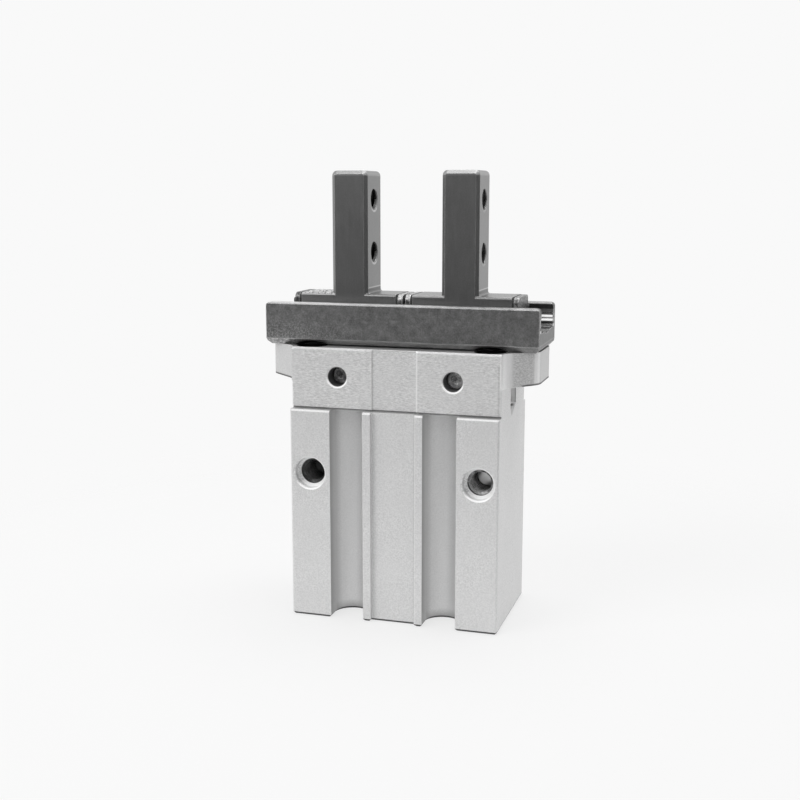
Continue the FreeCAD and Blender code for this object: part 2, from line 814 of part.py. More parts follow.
def slider_section(x, foot, neck, top, corner):
    """The section of a finger base: a wide foot in the channel and a narrower neck above it."""
    drop = top - corner
    right = [
        V(x, foot, base_bottom),
        V(x, foot, foot_top),
        V(x, neck, foot_top),
        V(x, neck, drop),
    ]
    left = [V(x, -p.y, p.z) for p in reversed(right)]
    edges = [line(a, b) for a, b in zip(right, right[1:])]
    diagonal = corner * (1 - math.sqrt(0.5))
    if corner > 0:
        middle = V(x, neck - diagonal, top - diagonal)
        edges.append(arc(right[-1], middle, V(x, neck - corner, top)))
        edges.append(line(V(x, neck - corner, top), V(x, corner - neck, top)))
        middle = V(x, diagonal - neck, top - diagonal)
        edges.append(arc(V(x, corner - neck, top), middle, left[0]))
    else:
        edges.append(line(right[-1], left[0]))
    edges += [line(a, b) for a, b in zip(left, left[1:])]
    edges.append(line(left[-1], right[0]))
    return Part.Face(Part.Wire(edges))


def finger_threads():
    cuts = []
    for k in range(2):
        z = base_top + finger_thread_height + k * finger_thread_spacing
        cuts.append(rod_x(finger_thread, upright_inner - overrun, upright_outer + overrun, 0, z))
        cuts.append(cone(V(upright_inner, 0, z), V(1, 0, 0), finger_thread_mouth, finger_thread))
        cuts.append(cone(V(upright_outer, 0, z), V(-1, 0, 0), finger_thread_mouth, finger_thread))
    return cuts


def upright():
    """The finger's upright: rounded tip corners, and a chamfer along its front and back outlines."""
    half = finger_depth / 2
    radius = finger_tip_radius
    diagonal = radius * (1 - math.sqrt(0.5))
    edges = []
    foot = []
    shoulders = []
    for x, inwards in ((upright_inner, 1), (upright_outer, -1)):
        low = V(x, -half, foot_top)
        high = V(x, -half, finger_tip - radius)
        middle = V(x + inwards * diagonal, -half, finger_tip - diagonal)
        top = V(x + inwards * radius, -half, finger_tip)
        edges += [line(low, high), arc(high, middle, top)]
        foot.append(low)
        shoulders.append(top)
    edges += [line(*foot), line(*shoulders)]
    wire = Part.Wire(Part.__sortEdges__(edges))
    shape = Part.Face(wire).extrude(V(0, finger_depth, 0))
    outline = []
    for edge in shape.Edges:
        bounds = edge.BoundBox
        if bounds.YLength < finger_edge and bounds.ZMax > foot_top + finger_edge:
            outline.append(edge)
    return shape.makeChamfer(finger_edge, outline)


def upright_roots():
    """The hollow fillets between the upright's two sides and the top of the base."""
    half = finger_depth / 2 - finger_edge
    radius = finger_root_radius
    fillets = []
    for side, outwards in ((upright_inner, -1), (upright_outer, 1)):
        centre = side + outwards * radius
        x0, x1 = sorted((side, centre))
        corner = box(x0, x1, -half, half, base_top, base_top + radius)
        fillets.append(corner.cut(rod_y(2 * radius, -half, half, centre, base_top + radius)))
    return fillets


def lobe_slot():
    """The slot in the finger's underside that the lever's upper lobe drives."""
    half_x = lobe_radius + lobe_fit
    half_y = slot_width / 2
    top = upper_lobe_top + lobe_radius + floor_play
    return box(upper_lobe_x - half_x, upper_lobe_x + half_x, -half_y, half_y, base_bottom - overrun, top)


def plate_screw_places():
    z = (foot_top + base_bottom) / 2
    return [(sy * plate_screw_spacing / 2, z) for sy in (-1, 1)]


def right_finger():
    neck = finger_depth / 2
    section = slider_section(base_inner, foot_half, neck, base_top, base_edge_radius)
    base = section.extrude(V(base_outer - base_inner, 0, 0))
    shape = base.fuse([upright()] + upright_roots())
    cuts = [lobe_slot()] + finger_threads()
    for sy in (-1, 1):
        cuts.append(rod_x(ball_diameter + 2 * ball_fit, -rail_length, rail_length, sy * ball_y, ball_z))
    hole = fixed_hole(plate_screw_diameter)
    for y, z in plate_screw_places():
        reach = plate_screw_length - end_seal_thickness - end_plate_thickness + static_fit
        cuts.append(rod_x(hole, base_inner - overrun, base_inner + reach, y, z))
        cuts.append(rod_x(hole, base_outer - reach, base_outer + overrun, y, z))
    return tidy(shape.cut(cuts))


def end_sheet(x, thickness, countersunk_at=None):
    """An end seal or an end plate: a sheet with the base's section and rounded upper corners."""
    section = slider_section(x, foot_half, finger_depth / 2, base_top, end_corner_radius)
    shape = section.extrude(V(thickness, 0, 0))
    hole = fixed_hole(plate_screw_diameter)
    cuts = []
    for y, z in plate_screw_places():
        cuts.append(rod_x(hole, x - overrun, x + thickness + overrun, y, z))
        if countersunk_at is not None:
            direction = V(1, 0, 0) if countersunk_at == x else V(-1, 0, 0)
            cuts.append(cone(V(countersunk_at, y, z), direction, fixed_hole(plate_screw_head), hole))
    return tidy(shape.cut(cuts))


def right_inner_plate():
    return end_sheet(inner_plate_face, end_plate_thickness, inner_plate_face)


def right_inner_seal():
    return end_sheet(inner_plate_face + end_plate_thickness, end_seal_thickness)


def right_outer_seal():
    return end_sheet(base_outer, end_seal_thickness)


def right_outer_plate():
    start = base_outer + end_seal_thickness
    return end_sheet(start, end_plate_thickness, start + end_plate_thickness)


def right_plate_screws():
    """Four small countersunk screws that hold the end plates and seals to the base."""
    solids = []
    outer_face = base_outer + end_seal_thickness + end_plate_thickness
    for y, z in plate_screw_places():
        for face, direction in ((inner_plate_face, V(1, 0, 0)), (outer_face, V(-1, 0, 0))):
            base = V(face, y, z)
            shank = Part.makeCylinder(plate_screw_diameter / 2, plate_screw_length, base, direction)
            head = cone(base, direction, plate_screw_head, plate_screw_diameter)
            solids.append(tidy(shank.fuse(head)))
    return Part.makeCompound(solids)


def right_balls():
    """Two rows of balls that carry the finger in the rail's grooves."""
    solids = []
    start = base_centre - ball_pitch * (ball_count - 1) / 2
    for sy in (-1, 1):
        for k in range(ball_count):
            centre = V(start + k * ball_pitch, sy * ball_y, ball_z)
            solids.append(Part.makeSphere(ball_diameter / 2, centre))
    return Part.makeCompound(solids)


# Nodes

single = {
    "body": body,
    "guide_rail": guide_rail,
    "rail_screws": rail_screws,
    "piston": piston,
    "piston_rod": piston_rod,
    "piston_bolt": piston_bolt,
    "piston_seal": lipped_seal,
    "rod_joint": rod_joint,
    "joint_bolt": joint_bolt,
    "rod_seal": rod_seal,
    "rod_bush": rod_bush,
    "seal_retainer": seal_retainer,
    "front_bumper": front_bumper,
    "rear_bumper": rear_bumper,
    "rear_cap": rear_cap,
    "cap_o_ring": cap_o_ring,
    "snap_ring": snap_ring,
}
paired = {
    "finger": right_finger,
    "inner_plate": right_inner_plate,
    "outer_plate": right_outer_plate,
    "inner_seal": right_inner_seal,
    "outer_seal": right_outer_seal,
    "plate_screws": right_plate_screws,
    "balls": right_balls,
    "lever": right_lever,
    "lever_shaft": right_lever_shaft,
}

nodes = {name: make() for name, make in single.items()}
nodes["wear_ring"] = piston_ring(0)
nodes["magnet_ring"] = piston_ring(1)
for name, make in paired.items():
    nodes["right_" + name] = make()
    nodes["left_" + name] = mirrored(nodes["right_" + name])

os.makedirs("parts", exist_ok=True)
for name, shape in nodes.items():
    shape.exportStep("parts/" + name + ".step")
    state = "valid" if shape.isValid() else "invalid"
    print(name, len(shape.Solids), state, round(shape.Volume, 2))
print("piston stroke", round(piston_stroke, 4), "lever swing", round(math.degrees(lever_swing), 4))
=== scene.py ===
import json
import math
from types import SimpleNamespace
import bmesh
import bpy
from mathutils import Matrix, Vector


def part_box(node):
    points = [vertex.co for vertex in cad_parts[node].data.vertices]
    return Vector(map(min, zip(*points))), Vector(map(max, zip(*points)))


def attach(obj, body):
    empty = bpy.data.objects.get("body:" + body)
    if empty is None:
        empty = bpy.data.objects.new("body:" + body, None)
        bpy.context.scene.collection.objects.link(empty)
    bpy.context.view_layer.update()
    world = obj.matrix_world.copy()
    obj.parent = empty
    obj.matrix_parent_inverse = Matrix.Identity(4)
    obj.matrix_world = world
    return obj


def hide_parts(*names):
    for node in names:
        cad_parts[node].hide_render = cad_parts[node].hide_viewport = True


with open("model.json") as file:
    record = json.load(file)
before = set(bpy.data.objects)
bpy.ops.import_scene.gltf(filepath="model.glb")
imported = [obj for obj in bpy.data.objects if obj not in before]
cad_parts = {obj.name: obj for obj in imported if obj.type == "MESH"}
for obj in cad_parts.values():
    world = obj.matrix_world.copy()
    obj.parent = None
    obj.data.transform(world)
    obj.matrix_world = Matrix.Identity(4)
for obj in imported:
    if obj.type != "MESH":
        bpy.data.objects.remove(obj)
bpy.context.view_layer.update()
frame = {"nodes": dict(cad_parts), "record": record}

# Pneumatic parallel gripper, in metres. The fingers move along X, -Y is the front, Z points to the finger tips.

mm = 0.001
record = frame["record"]
mounts = {mount["name"]: mount for mount in record["mounts"]}
body_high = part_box("body")[1]
rail_low, rail_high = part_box("guide_rail")
balls_low, balls_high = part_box("right_balls")
shaft_low, shaft_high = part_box("right_lever_shaft")
sides = (("front", -1), ("back", 1))
hands = (("left", -1), ("right", 1))

# Places on the body that its finish follows
body_top = body_high[2]
body_face = body_high[1]            # half the body's depth
seam_height = 42.05 * mm            # between the lower and the upper block
block_side = 21.0 * mm              # the upper block's side, where the ears start
upper_face = 11.2 * mm              # half the upper block's depth
ear_end = body_high[0]
ear_bottom = 47.5 * mm              # at the ears' roots; the underside rises towards their ends
ear_rise = 0.5 * mm
ear_root = 1.3 * mm                 # width of the hollow between block and ear
ear_corner = 0.95 * mm              # width of the rounding at an ear's end
pocket_depth = 1.0 * mm             # of the milled pockets under the ears
pocket_half = 2.6 * mm              # half their width
strip_edge = 4.45 * mm              # where the recessed strip ends, beside the grooves
groove_inner = 6.0 * mm
groove_outer = 12.8 * mm
groove_middle = (groove_inner + groove_outer) / 2
groove_half = (groove_outer - groove_inner) / 2
foot_shade = 0.42 * mm              # height of the painted shade line at the foot
side_thread = mounts["front_threads"]
side_hole_x = side_thread["dims"]["spacing_x_mm"] / 2 * mm
side_hole_z = side_thread["pos_m"][2]
side_hole = (side_hole_x, side_hole_z)
side_hole_radius = side_thread["dims"]["hole_r_mm"] * mm
side_bore_radius = 3.1 * mm         # of the plain bores in front of the side threads
side_bore_edge = 0.3 * mm
through_hole_radius = 2.1 * mm      # between the front and the back threads
shaft_x = (shaft_low[0] + shaft_high[0]) / 2
shaft_z = (shaft_low[2] + shaft_high[2]) / 2
shaft_radius = (shaft_high[2] - shaft_low[2]) / 2
relief_hole = (18.0 * mm, 7.6 * mm)  # X and Y of the blind holes under the rail
relief_hole_radius = 3.1 * mm
relief_hole_depth = 3.05 * mm
hole_blur = 0.06 * mm              # over which a hole's tone fades out

# Places on the rail and the fingers
ball_z = (balls_low[2] + balls_high[2]) / 2
rail_end = rail_high[0]
rail_top = rail_high[2]
rail_foot = rail_low[2]
chamfer_top = rail_foot + 1.2 * mm
channel_floor = rail_foot + 3.6 * mm
channel_half = 7.5 * mm             # half the width between the rail's inner walls, grooves included
raceway_half = 0.75 * mm
base_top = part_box("right_outer_plate")[1][2]
finger_thread = mounts["right_finger_threads"]
finger_inner = 7.5 * mm             # the uprights' sides
finger_outer = finger_thread["pos_m"][0]
finger_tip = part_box("right_finger")[1][2]
finger_hole_radius = finger_thread["dims"]["hole_r_mm"] * mm
finger_rim_radius = 2.5 * mm        # of the rim around a finger's hole, with wear and a painted highlight at its foot
finger_hole_gap = finger_thread["dims"]["spacing_y_mm"] * mm
finger_hole_middle = finger_thread["pos_m"][2]
finger_hole_heights = (finger_hole_middle - finger_hole_gap / 2, finger_hole_middle + finger_hole_gap / 2)

# Threads and screws
thread_core_share = 0.54            # height of a thread's ridge as a share of its pitch
thread_root_share = 0.92            # width of a ridge at its root as a share of its pitch
thread_crest_share = 0.16           # width of its crest as a share of its root
coarse_pitch = {2.5: 0.8 * mm, 2.0: 0.7 * mm}
thread_steps = 40
thread_seat = 0.03 * mm             # how far a ridge is let into the wall
thread_smooth = math.radians(40)
side_mouth = 2.0 * mm
rear_mouth = 0.3 * mm
port_mouth = 0.45 * mm
finger_mouth = 0.2 * mm
side_thread_length = 6.6 * mm
rear_thread_length = 7.4 * mm
port_thread_length = 4.6 * mm
finger_thread_length = 6.5 * mm
plate_screw_sides = 24
plate_screw_socket = 0.62 * mm
plate_screw_socket_depth = 0.7 * mm
hexagon_turn = 60                   # degrees from one corner of a socket to the next
plate_screw_shank = 0.8 * mm
plate_screw_length = 5.0 * mm
plate_screw_edge = 0.06 * mm
plate_screw_smooth = math.radians(35)
near = 0.01 * mm                    # reach of a test for points on a radius
upwards = 0.9                       # least Z of the normal of a face that points up

# Photograph's camera
camera_place = (66.65 * mm, -224.04 * mm, 83.57 * mm)
camera_yaw = 0.2981
camera_pitch = 0.1727
camera_lens = 53.1
camera_sensor = 36.0
camera_near = 0.01

# Studio
background_white = 0.947
surround_light = 0.64               # strength of the surround where it only lights the object
floor_radius = 0.16
floor_fade = 0.11
floor_drop = 0.05 * mm              # how far the floor lies below the object
floor_corners = 96
floor_glow = 0.75                   # share of the plain background in the floor that the camera sees
floor_shown = 0.74                  # tone of the paper, as the camera and the reflections see it
object_middle = (0, 0, 50 * mm)


# Material helpers

def put(tree, kind, inputs=None, **settings):
    """Adds a node; an input is a number, a colour or another node's output."""
    node = tree.nodes.new(kind)
    for key, value in settings.items():
        setattr(node, key, value)
    for key, value in (inputs or {}).items():
        feed(tree, node.inputs[key], value)
    return node


def feed(tree, socket, value):
    """Links another node's output to a socket, or sets a plain value on it."""
    if isinstance(value, bpy.types.NodeSocket):
        tree.links.new(value, socket)
    else:
        socket.default_value = value


def new_finish(name):
    """A material, its node tree, its shader and the piece's own coordinates."""
    material = bpy.data.materials.new(name)
    material.use_nodes = True
    tree = material.node_tree
    shader = tree.nodes["Principled BSDF"]
    place = put(tree, "ShaderNodeTexCoord").outputs["Object"]
    return material, tree, shader, place


def dress(tree, shader, colour, roughness, metallic, normal):
    """Gives the shader its colour, roughness, metal share and relief."""
    feed(tree, shader.inputs["Base Color"], colour)
    feed(tree, shader.inputs["Roughness"], roughness)
    feed(tree, shader.inputs["Metallic"], metallic)
    feed(tree, shader.inputs["Normal"], normal)


def axes(tree, place):
    return put(tree, "ShaderNodeSeparateXYZ", {"Vector": place}).outputs


def sums(tree, operation, first, second=0.0):
    return put(tree, "ShaderNodeMath", {0: first, 1: second}, operation=operation).outputs["Value"]


def times(tree, first, *others):
    """The product of patterns and shares: 1 only where all of them are."""
    for other in others:
        first = sums(tree, "MULTIPLY", first, other)
    return first


def most(tree, first, *others):
    """The largest of several patterns: 1 where any of them is."""
    for other in others:
        first = sums(tree, "MAXIMUM", first, other)
    return first


def from_middle(tree, x, middle):
    """X from the middle of the left or the right one of a mirrored pair."""
    return sums(tree, "SUBTRACT", x, times(tree, sums(tree, "SIGN", x), middle))


def places(tree, place):
    """A piece's coordinates, with X and Y also as distances, and where its surface faces."""
    at = SimpleNamespace(place=place)
    at.x, at.y, at.z = axes(tree, place)
    at.wide = sums(tree, "ABSOLUTE", at.x)
    at.deep = sums(tree, "ABSOLUTE", at.y)
    at.sideways, _, at.facing = axes(tree, put(tree, "ShaderNodeNewGeometry").outputs["Normal"])
    return at


def stretched(tree, place, scale):
    """The piece's coordinates, stretched so that a pattern runs along one direction."""
    return put(tree, "ShaderNodeMapping", {"Vector": place, "Scale": scale}).outputs["Vector"]


def noise(tree, vector, scale, detail=2.0, roughness=0.5):
    settings = {"Vector": vector, "Scale": scale, "Detail": detail, "Roughness": roughness}
    return put(tree, "ShaderNodeTexNoise", settings).outputs["Fac"]


def spread(tree, value, low, high, start=0.0, end=1.0):
    """Maps a pattern from one range to another."""
    settings = {"Value": value, "From Min": start, "From Max": end, "To Min": low, "To Max": high}
    return put(tree, "ShaderNodeMapRange", settings).outputs["Result"]


def rises(tree, value, start, end, top=1.0):
    """0 before the start, a full share past the end."""
    return spread(tree, value, 0.0, top, start, end)


def falls(tree, value, start, end, top=1.0):
    """A full share before the start, 0 past the end."""
    return spread(tree, value, top, 0.0, start, end)


def outside(tree, region):
    """1 where a region is 0."""
    return spread(tree, region, 1.0, 0.0)


def band(tree, value, low, high, soft):
    """1 between two limits and 0 beyond them."""
    return times(tree, rises(tree, value, low - soft, low + soft), falls(tree, value, high - soft, high + soft))


def inside_hole(tree, first, second, centre, radius):
    """1 within a radius of a hole's axis, given by two coordinates."""
    across = sums(tree, "SUBTRACT", first, centre[0])
    up = sums(tree, "SUBTRACT", second, centre[1])
    flat = put(tree, "ShaderNodeCombineXYZ", {"X": across, "Y": up}).outputs["Vector"]
    distance = put(tree, "ShaderNodeVectorMath", {0: flat}, operation="LENGTH").outputs["Value"]
    return falls(tree, distance, radius, radius + hole_blur)


def shades(tree, value, *stops):
    """A colour ramp of stops, each a position and a colour."""
    ramp = put(tree, "ShaderNodeValToRGB", {"Fac": value})
    elements = ramp.color_ramp.elements
    while len(elements) < len(stops):
        elements.new(0.5)
    for element, (position, colour) in zip(elements, stops):
        element.position = position
        element.color = (*colour, 1.0)
    return ramp.outputs["Color"]


def tones(tree, value, *stops):
    """A grey ramp of stops, each a position and a tone."""
    return shades(tree, value, *((position, grey(tone)) for position, tone in stops))


def mixed(tree, share, first, second, blend="MIX"):
    node = put(tree, "ShaderNodeMix", data_type="RGBA", blend_type=blend)
    for name, value in (("Factor", share), ("A", first), ("B", second)):
        feed(tree, [s for s in node.inputs if s.name == name and s.enabled][0], value)
    return [s for s in node.outputs if s.enabled][0]


def painted(tree, base, share, tone):
    """The colour so far, with a plain tone over a share of it."""
    return mixed(tree, share, base, solid(tone))


def relief(tree, height, strength, distance, normal=None):
    inputs = {"Height": height, "Strength": strength, "Distance": distance}
    if normal is not None:
        inputs["Normal"] = normal
    return put(tree, "ShaderNodeBump", inputs).outputs["Normal"]


def eased_edges(tree, radius):
    """The surface normal with every sharp edge slightly rounded."""
    return put(tree, "ShaderNodeBevel", {"Radius": radius}, samples=4).outputs["Normal"]


def edge_share(tree, radius):
    """1 along the sharp edges and 0 on the flats, from how far the eased normal leaves the true one."""
    true = put(tree, "ShaderNodeNewGeometry").outputs["Normal"]
    normals = {0: eased_edges(tree, radius=radius), 1: true}
    alike = put(tree, "ShaderNodeVectorMath", normals, operation="DOT_PRODUCT").outputs["Value"]
    return falls(tree, alike, 0.75, 0.995)


def grey(value):
    return (value, value, value)


def solid(value):
    return (value, value, value, 1.0)


# Finish of the body

def blasted_aluminium():
    """Anodised body: blasted grain, milling lines on the upper block, sawn ear flanks, holes in painted shade,
    and painted light and shade on edges, corners, grooves and pockets.
    """
    material, tree, shader, place = new_finish("blasted_aluminium")
    at = places(tree, place)
    at.above_seam = rises(tree, at.z, seam_height, seam_height + 0.1 * mm)
    at.beside_ears = falls(tree, at.wide, block_side, block_side + 0.2 * mm)
    at.on_face = rises(tree, at.deep, upper_face - 0.3 * mm, upper_face - 0.2 * mm)
    grain = noise(tree, place, scale=3300, detail=3.0, roughness=0.65)
    cloud = noise(tree, place, scale=150, detail=3.0, roughness=0.55)
    patches = spread(tree, noise(tree, place, scale=210, detail=2.0), 0.34, 0.52, 0.4, 0.62)
    lines = noise(tree, stretched(tree, place, scale=(0.30, 0.5, 1.0)), scale=4600, detail=4.0, roughness=0.75)
    base = mixed(tree, patches, tones(tree, cloud, (0.3, 0.665), (0.7, 0.705)),
                 tones(tree, grain, (0.32, 0.51), (0.68, 0.86)))
    base = mixed(tree, times(tree, at.above_seam, at.beside_ears, patches), base,
                 tones(tree, lines, (0.36, 0.42), (0.64, 0.95)))
    for coat in (ear_tones, corner_tones, edge_tones, shade_tones, groove_tones):
        base = coat(tree, at, base)
    pocket = pocket_region(tree, at)
    base = pocket_tones(tree, at, base, pocket)
    holes = hole_regions(tree, at)
    base = hole_tones(tree, at, base, holes)

    rough = spread(tree, grain, 0.46, 0.60, 0.25, 0.75)
    rough = sums(tree, "SUBTRACT", rough, times(tree, holes.through, 0.2))
    bore = sums(tree, "SUBTRACT", holes.mouth, holes.thread)
    bare = most(tree, bore, holes.lip, pocket)
    metal = most(tree, spread(tree, bare, 0.55, 0.05), holes.through)
    normal = relief(tree, lines, strength=0.16, distance=0.02 * mm, normal=eased_edges(tree, radius=0.15 * mm))
    normal = relief(tree, grain, strength=0.40, distance=0.025 * mm, normal=normal)
    dress(tree, shader, base, rough, metal, normal)
    return material


def ear_tones(tree, at, base):
    """Sawn flank of the right ear, painted highlights on its root beside the block and on its rounded end corner,
    and the right ear's end face and the left ear slightly darker.
    """
    sawn = noise(tree, stretched(tree, at.place, scale=(0.6, 0.6, 1.0)), scale=4300, detail=3.0, roughness=0.7)
    flank = band(tree, at.x, block_side + ear_root + 0.3 * mm, ear_end - ear_corner - 0.05 * mm, soft=0.35 * mm)
    base = mixed(tree, flank, base, tones(tree, sawn, (0.3, 0.40), (0.7, 0.76)))
    # Painted highlight on the root beside the block and on the rounded corner at the ear's end.
    root = band(tree, at.x, block_side - 0.1 * mm, block_side + ear_root, soft=0.3 * mm)
    root = times(tree, root, rises(tree, at.z, ear_bottom - 0.2 * mm, ear_bottom))
    corner = band(tree, at.x, ear_end - ear_corner, ear_end - 0.15 * mm, soft=0.12 * mm)
    base = painted(tree, base, times(tree, most(tree, root, corner), 0.55), 1.0)
    base = painted(tree, base, rises(tree, at.x, ear_end - 0.15 * mm, ear_end - 0.05 * mm, top=0.22), 0.25)
    return painted(tree, base, falls(tree, at.x, -block_side - 0.2 * mm, -block_side, top=0.20), 0.30)


def corner_tones(tree, at, base):
    """A painted shade line and a painted highlight along the upper block's right corners."""
    below_top = falls(tree, at.z, body_top - 2.5 * mm, body_top - 1.5 * mm)
    face = times(tree, at.above_seam, at.on_face, below_top)
    # Painted shade line, then painted highlight at the corner's edge.
    for start, end, share, tone in ((-0.65, -0.35, 0.20, 0.1), (-0.25, 0.05, 0.40, 1.0)):
        line = band(tree, at.x, block_side + start * mm, block_side + end * mm, soft=0.05 * mm)
        base = painted(tree, base, times(tree, face, line, share), tone)
    return base


def edge_tones(tree, at, base):
    """Broken edges lightened as wear and painted highlight except around the bores, the top edge dimmed by
    painted shade, and a painted highlight on the step beside the strip with a painted shade line next to it.
    """
    # Wear and painted highlight along the sharp edges.
    around_bores = inside_hole(tree, at.wide, at.z, side_hole, side_bore_radius + 2 * side_bore_edge)
    edges = times(tree, edge_share(tree, radius=0.22 * mm), outside(tree, around_bores))
    base = painted(tree, base, edges, 0.82)
    # Painted shade over the top edge of the front face.
    crest = rises(tree, at.z, body_top - 0.35 * mm, body_top - 0.25 * mm, top=0.4)
    base = painted(tree, base, times(tree, crest, at.on_face, at.beside_ears), 0.25)
    # Painted highlight on the strip's step, and below the seam a painted shade line beside it.
    step = band(tree, at.x, strip_edge - 0.12 * mm, strip_edge + 0.26 * mm, soft=0.05 * mm)
    base = painted(tree, base, times(tree, step, spread(tree, at.above_seam, 0.14, 0.6)), 0.95)
    beside = band(tree, at.x, strip_edge - 0.38 * mm, strip_edge - 0.18 * mm, soft=0.04 * mm)
    return painted(tree, base, times(tree, beside, spread(tree, at.above_seam, 0.14, 0.0)), 0.0)


def shade_tones(tree, at, base):
    """Painted shade: dark undersides of the ears and the left ear's rounded rims, and painted shadow in the seam
    and on the top face under the rail.
    """
    underside = spread(tree, at.wide, ear_bottom, ear_bottom + ear_rise, block_side, ear_end)
    under = falls(tree, sums(tree, "SUBTRACT", at.z, underside), 0.18 * mm, 0.42 * mm, top=0.85)
    left_ear = falls(tree, at.x, -block_side - 0.3 * mm, -block_side - 0.05 * mm)
    right_end = rises(tree, at.x, ear_end - 3.2 * mm, ear_end - 2.8 * mm)
    base = painted(tree, base, times(tree, under, most(tree, left_ear, right_end)), 0.04)
    left_rim = falls(tree, at.x, 0.1 * mm - ear_end, 0.4 * mm - ear_end, top=0.55)
    base = painted(tree, base, times(tree, left_rim, rises(tree, at.sideways, -0.97, -0.90)), 0.08)
    # Painted shadow in the seam between the blocks.
    seam = band(tree, at.z, seam_height + 0.02 * mm, seam_height + 0.42 * mm, soft=0.03 * mm)
    seam = times(tree, seam, falls(tree, at.wide, block_side - 0.1 * mm, block_side, top=0.62))
    base = painted(tree, base, seam, 0.06)
    # Painted shadow on the top face under the rail.
    top = band(tree, at.z, body_top - 0.05 * mm, body_top + 1 * mm, soft=0.02 * mm)
    top = times(tree, top, rises(tree, at.facing, 0.8, 0.95, top=0.6))
    within = falls(tree, at.deep, upper_face - 0.6 * mm, upper_face - 0.35 * mm)
    return painted(tree, base, times(tree, top, within), 0.05)


def groove_tones(tree, at, base):
    """Sensor grooves below the seam painted lighter and shaded from dark on the left along their walls and
    floors, painted shade on their right halves and towards the foot, and a painted shade line along the whole
    foot.
    """
    groove = band(tree, at.wide, groove_inner, groove_outer, soft=0.05 * mm)
    groove = times(tree, groove, falls(tree, at.deep, body_face - 0.4 * mm, body_face))
    below_seam = times(tree, groove, outside(tree, at.above_seam))
    across = from_middle(tree, at.x, groove_middle)
    inwards = sums(tree, "SUBTRACT", across, sums(tree, "SUBTRACT", at.deep, body_face + groove_half))
    # Painted shade graded from the dark left wall.
    hollow_shade = tones(tree, rises(tree, inwards, 0.0, 8 * mm),
                   (0.0, 0.34), (0.12, 0.46), (0.25, 0.64), (0.47, 0.81), (0.72, 1.0))
    # Painted light over the grooves below the seam, then the painted shade over it.
    base = painted(tree, base, times(tree, below_seam, 0.4), 1.0)
    base = mixed(tree, below_seam, base, hollow_shade, "MULTIPLY")
    # Painted shade over the right halves.
    right_wall = rises(tree, across, -0.2 * mm, 1.4 * mm, top=0.18)
    base = painted(tree, base, times(tree, below_seam, right_wall), 0.0)
    # Painted shade darker towards the foot in the grooves, and as a dark line along the whole foot.
    base = painted(tree, base, times(tree, groove, falls(tree, at.z, foot_shade, 5 * foot_shade, top=0.5)), 0.15)
    return painted(tree, base, falls(tree, at.z, foot_shade, foot_shade + 0.1 * mm), 0.05)


def pocket_region(tree, at):
    """The milled pockets under the ears."""
    depth = band(tree, at.wide, block_side - pocket_depth - 0.05 * mm, block_side - 0.03 * mm, soft=0.02 * mm)
    height = band(tree, at.z, seam_height - 2 * mm, ear_bottom, soft=0.05 * mm)
    width = falls(tree, at.deep, pocket_half + 0.1 * mm, pocket_half + 0.2 * mm, top=0.8)
    return times(tree, depth, height, width)


def pocket_tones(tree, at, base, pocket):
    """Pockets painted light, bare, with painted shade on their end walls and a painted shadow spot at their foot.
    """
    # Painted light over the pockets.
    base = painted(tree, base, pocket, 1.0)
    # Painted shade on the end walls.
    end_wall = rises(tree, at.deep, pocket_half - 0.1 * mm, pocket_half)
    rim = spread(tree, at.wide, 0.55, 1.0, block_side - 0.25 * mm, block_side - 0.15 * mm)
    base = painted(tree, base, times(tree, pocket, end_wall, rim), 0.10)
    # Painted shadow spot at the foot of the pockets.
    foot = band(tree, at.z, seam_height + 0.4 * mm, seam_height + 0.75 * mm, soft=0.1 * mm)
    foot = times(tree, foot, falls(tree, at.wide, block_side - 0.5 * mm, block_side))
    return painted(tree, base, times(tree, pocket, foot), 0.0)


def hole_regions(tree, at):
    """The body's holes, each as a region of its own."""
    shaft = (shaft_x, shaft_z)
    holes = SimpleNamespace()
    holes.mouth = inside_hole(tree, at.wide, at.z, side_hole, side_bore_radius + side_bore_edge - 0.05 * mm)
    holes.thread = inside_hole(tree, at.wide, at.z, side_hole, side_hole_radius)
    holes.through = inside_hole(tree, at.x, at.z, side_hole, through_hole_radius)
    holes.shaft = inside_hole(tree, at.wide, at.z, shaft, shaft_radius + 0.1 * mm)
    lip = inside_hole(tree, at.wide, at.z, shaft, shaft_radius + 0.42 * mm)
    holes.lip = times(tree, lip, falls(tree, at.z, shaft_z - 0.6 * shaft_radius, shaft_z))
    depth = band(tree, at.z, body_top - relief_hole_depth, body_top - 0.03 * mm, soft=0.02 * mm)
    holes.relief = times(tree, inside_hole(tree, at.wide, at.deep, relief_hole, relief_hole_radius), depth)
    return holes


def hole_tones(tree, at, base, holes):
    """The bores are bare, their lower walls painted white as a highlight and their left walls scratched and in
    painted shade; a painted highlight on the shaft holes' lower lips; the holes behind in painted shade, the
    through hole painted mid-grey as light from its far end.
    """
    # Painted shade with scratches on the bores' left walls.
    left = falls(tree, from_middle(tree, at.x, side_hole_x), -0.8 * side_bore_radius, -0.3 * side_bore_radius)
    low = falls(tree, at.z, side_hole_z - 0.85 * side_bore_radius, side_hole_z - 0.55 * side_bore_radius)
    along = stretched(tree, at.place, scale=(0.3, 1.0, 1.0))
    scratched = noise(tree, along, scale=3600, detail=3.0, roughness=0.7)
    wall = mixed(tree, left, solid(0.80), tones(tree, scratched, (0.35, 0.48), (0.65, 0.86)))
    # Painted highlight: the bores' lower walls white.
    base = mixed(tree, holes.mouth, base, mixed(tree, low, wall, solid(1.0)))
    # Painted highlight on the shaft holes' lower lips, painted shade in the threads, shaft holes and relief
    # holes, and the through hole painted mid-grey as light from its far end.
    for share, tone in ((holes.lip, 1.0), (holes.thread, 0.10), (holes.through, 0.50),
                        (holes.shaft, 0.10), (holes.relief, 0.02)):
        base = painted(tree, base, share, tone)
    return base


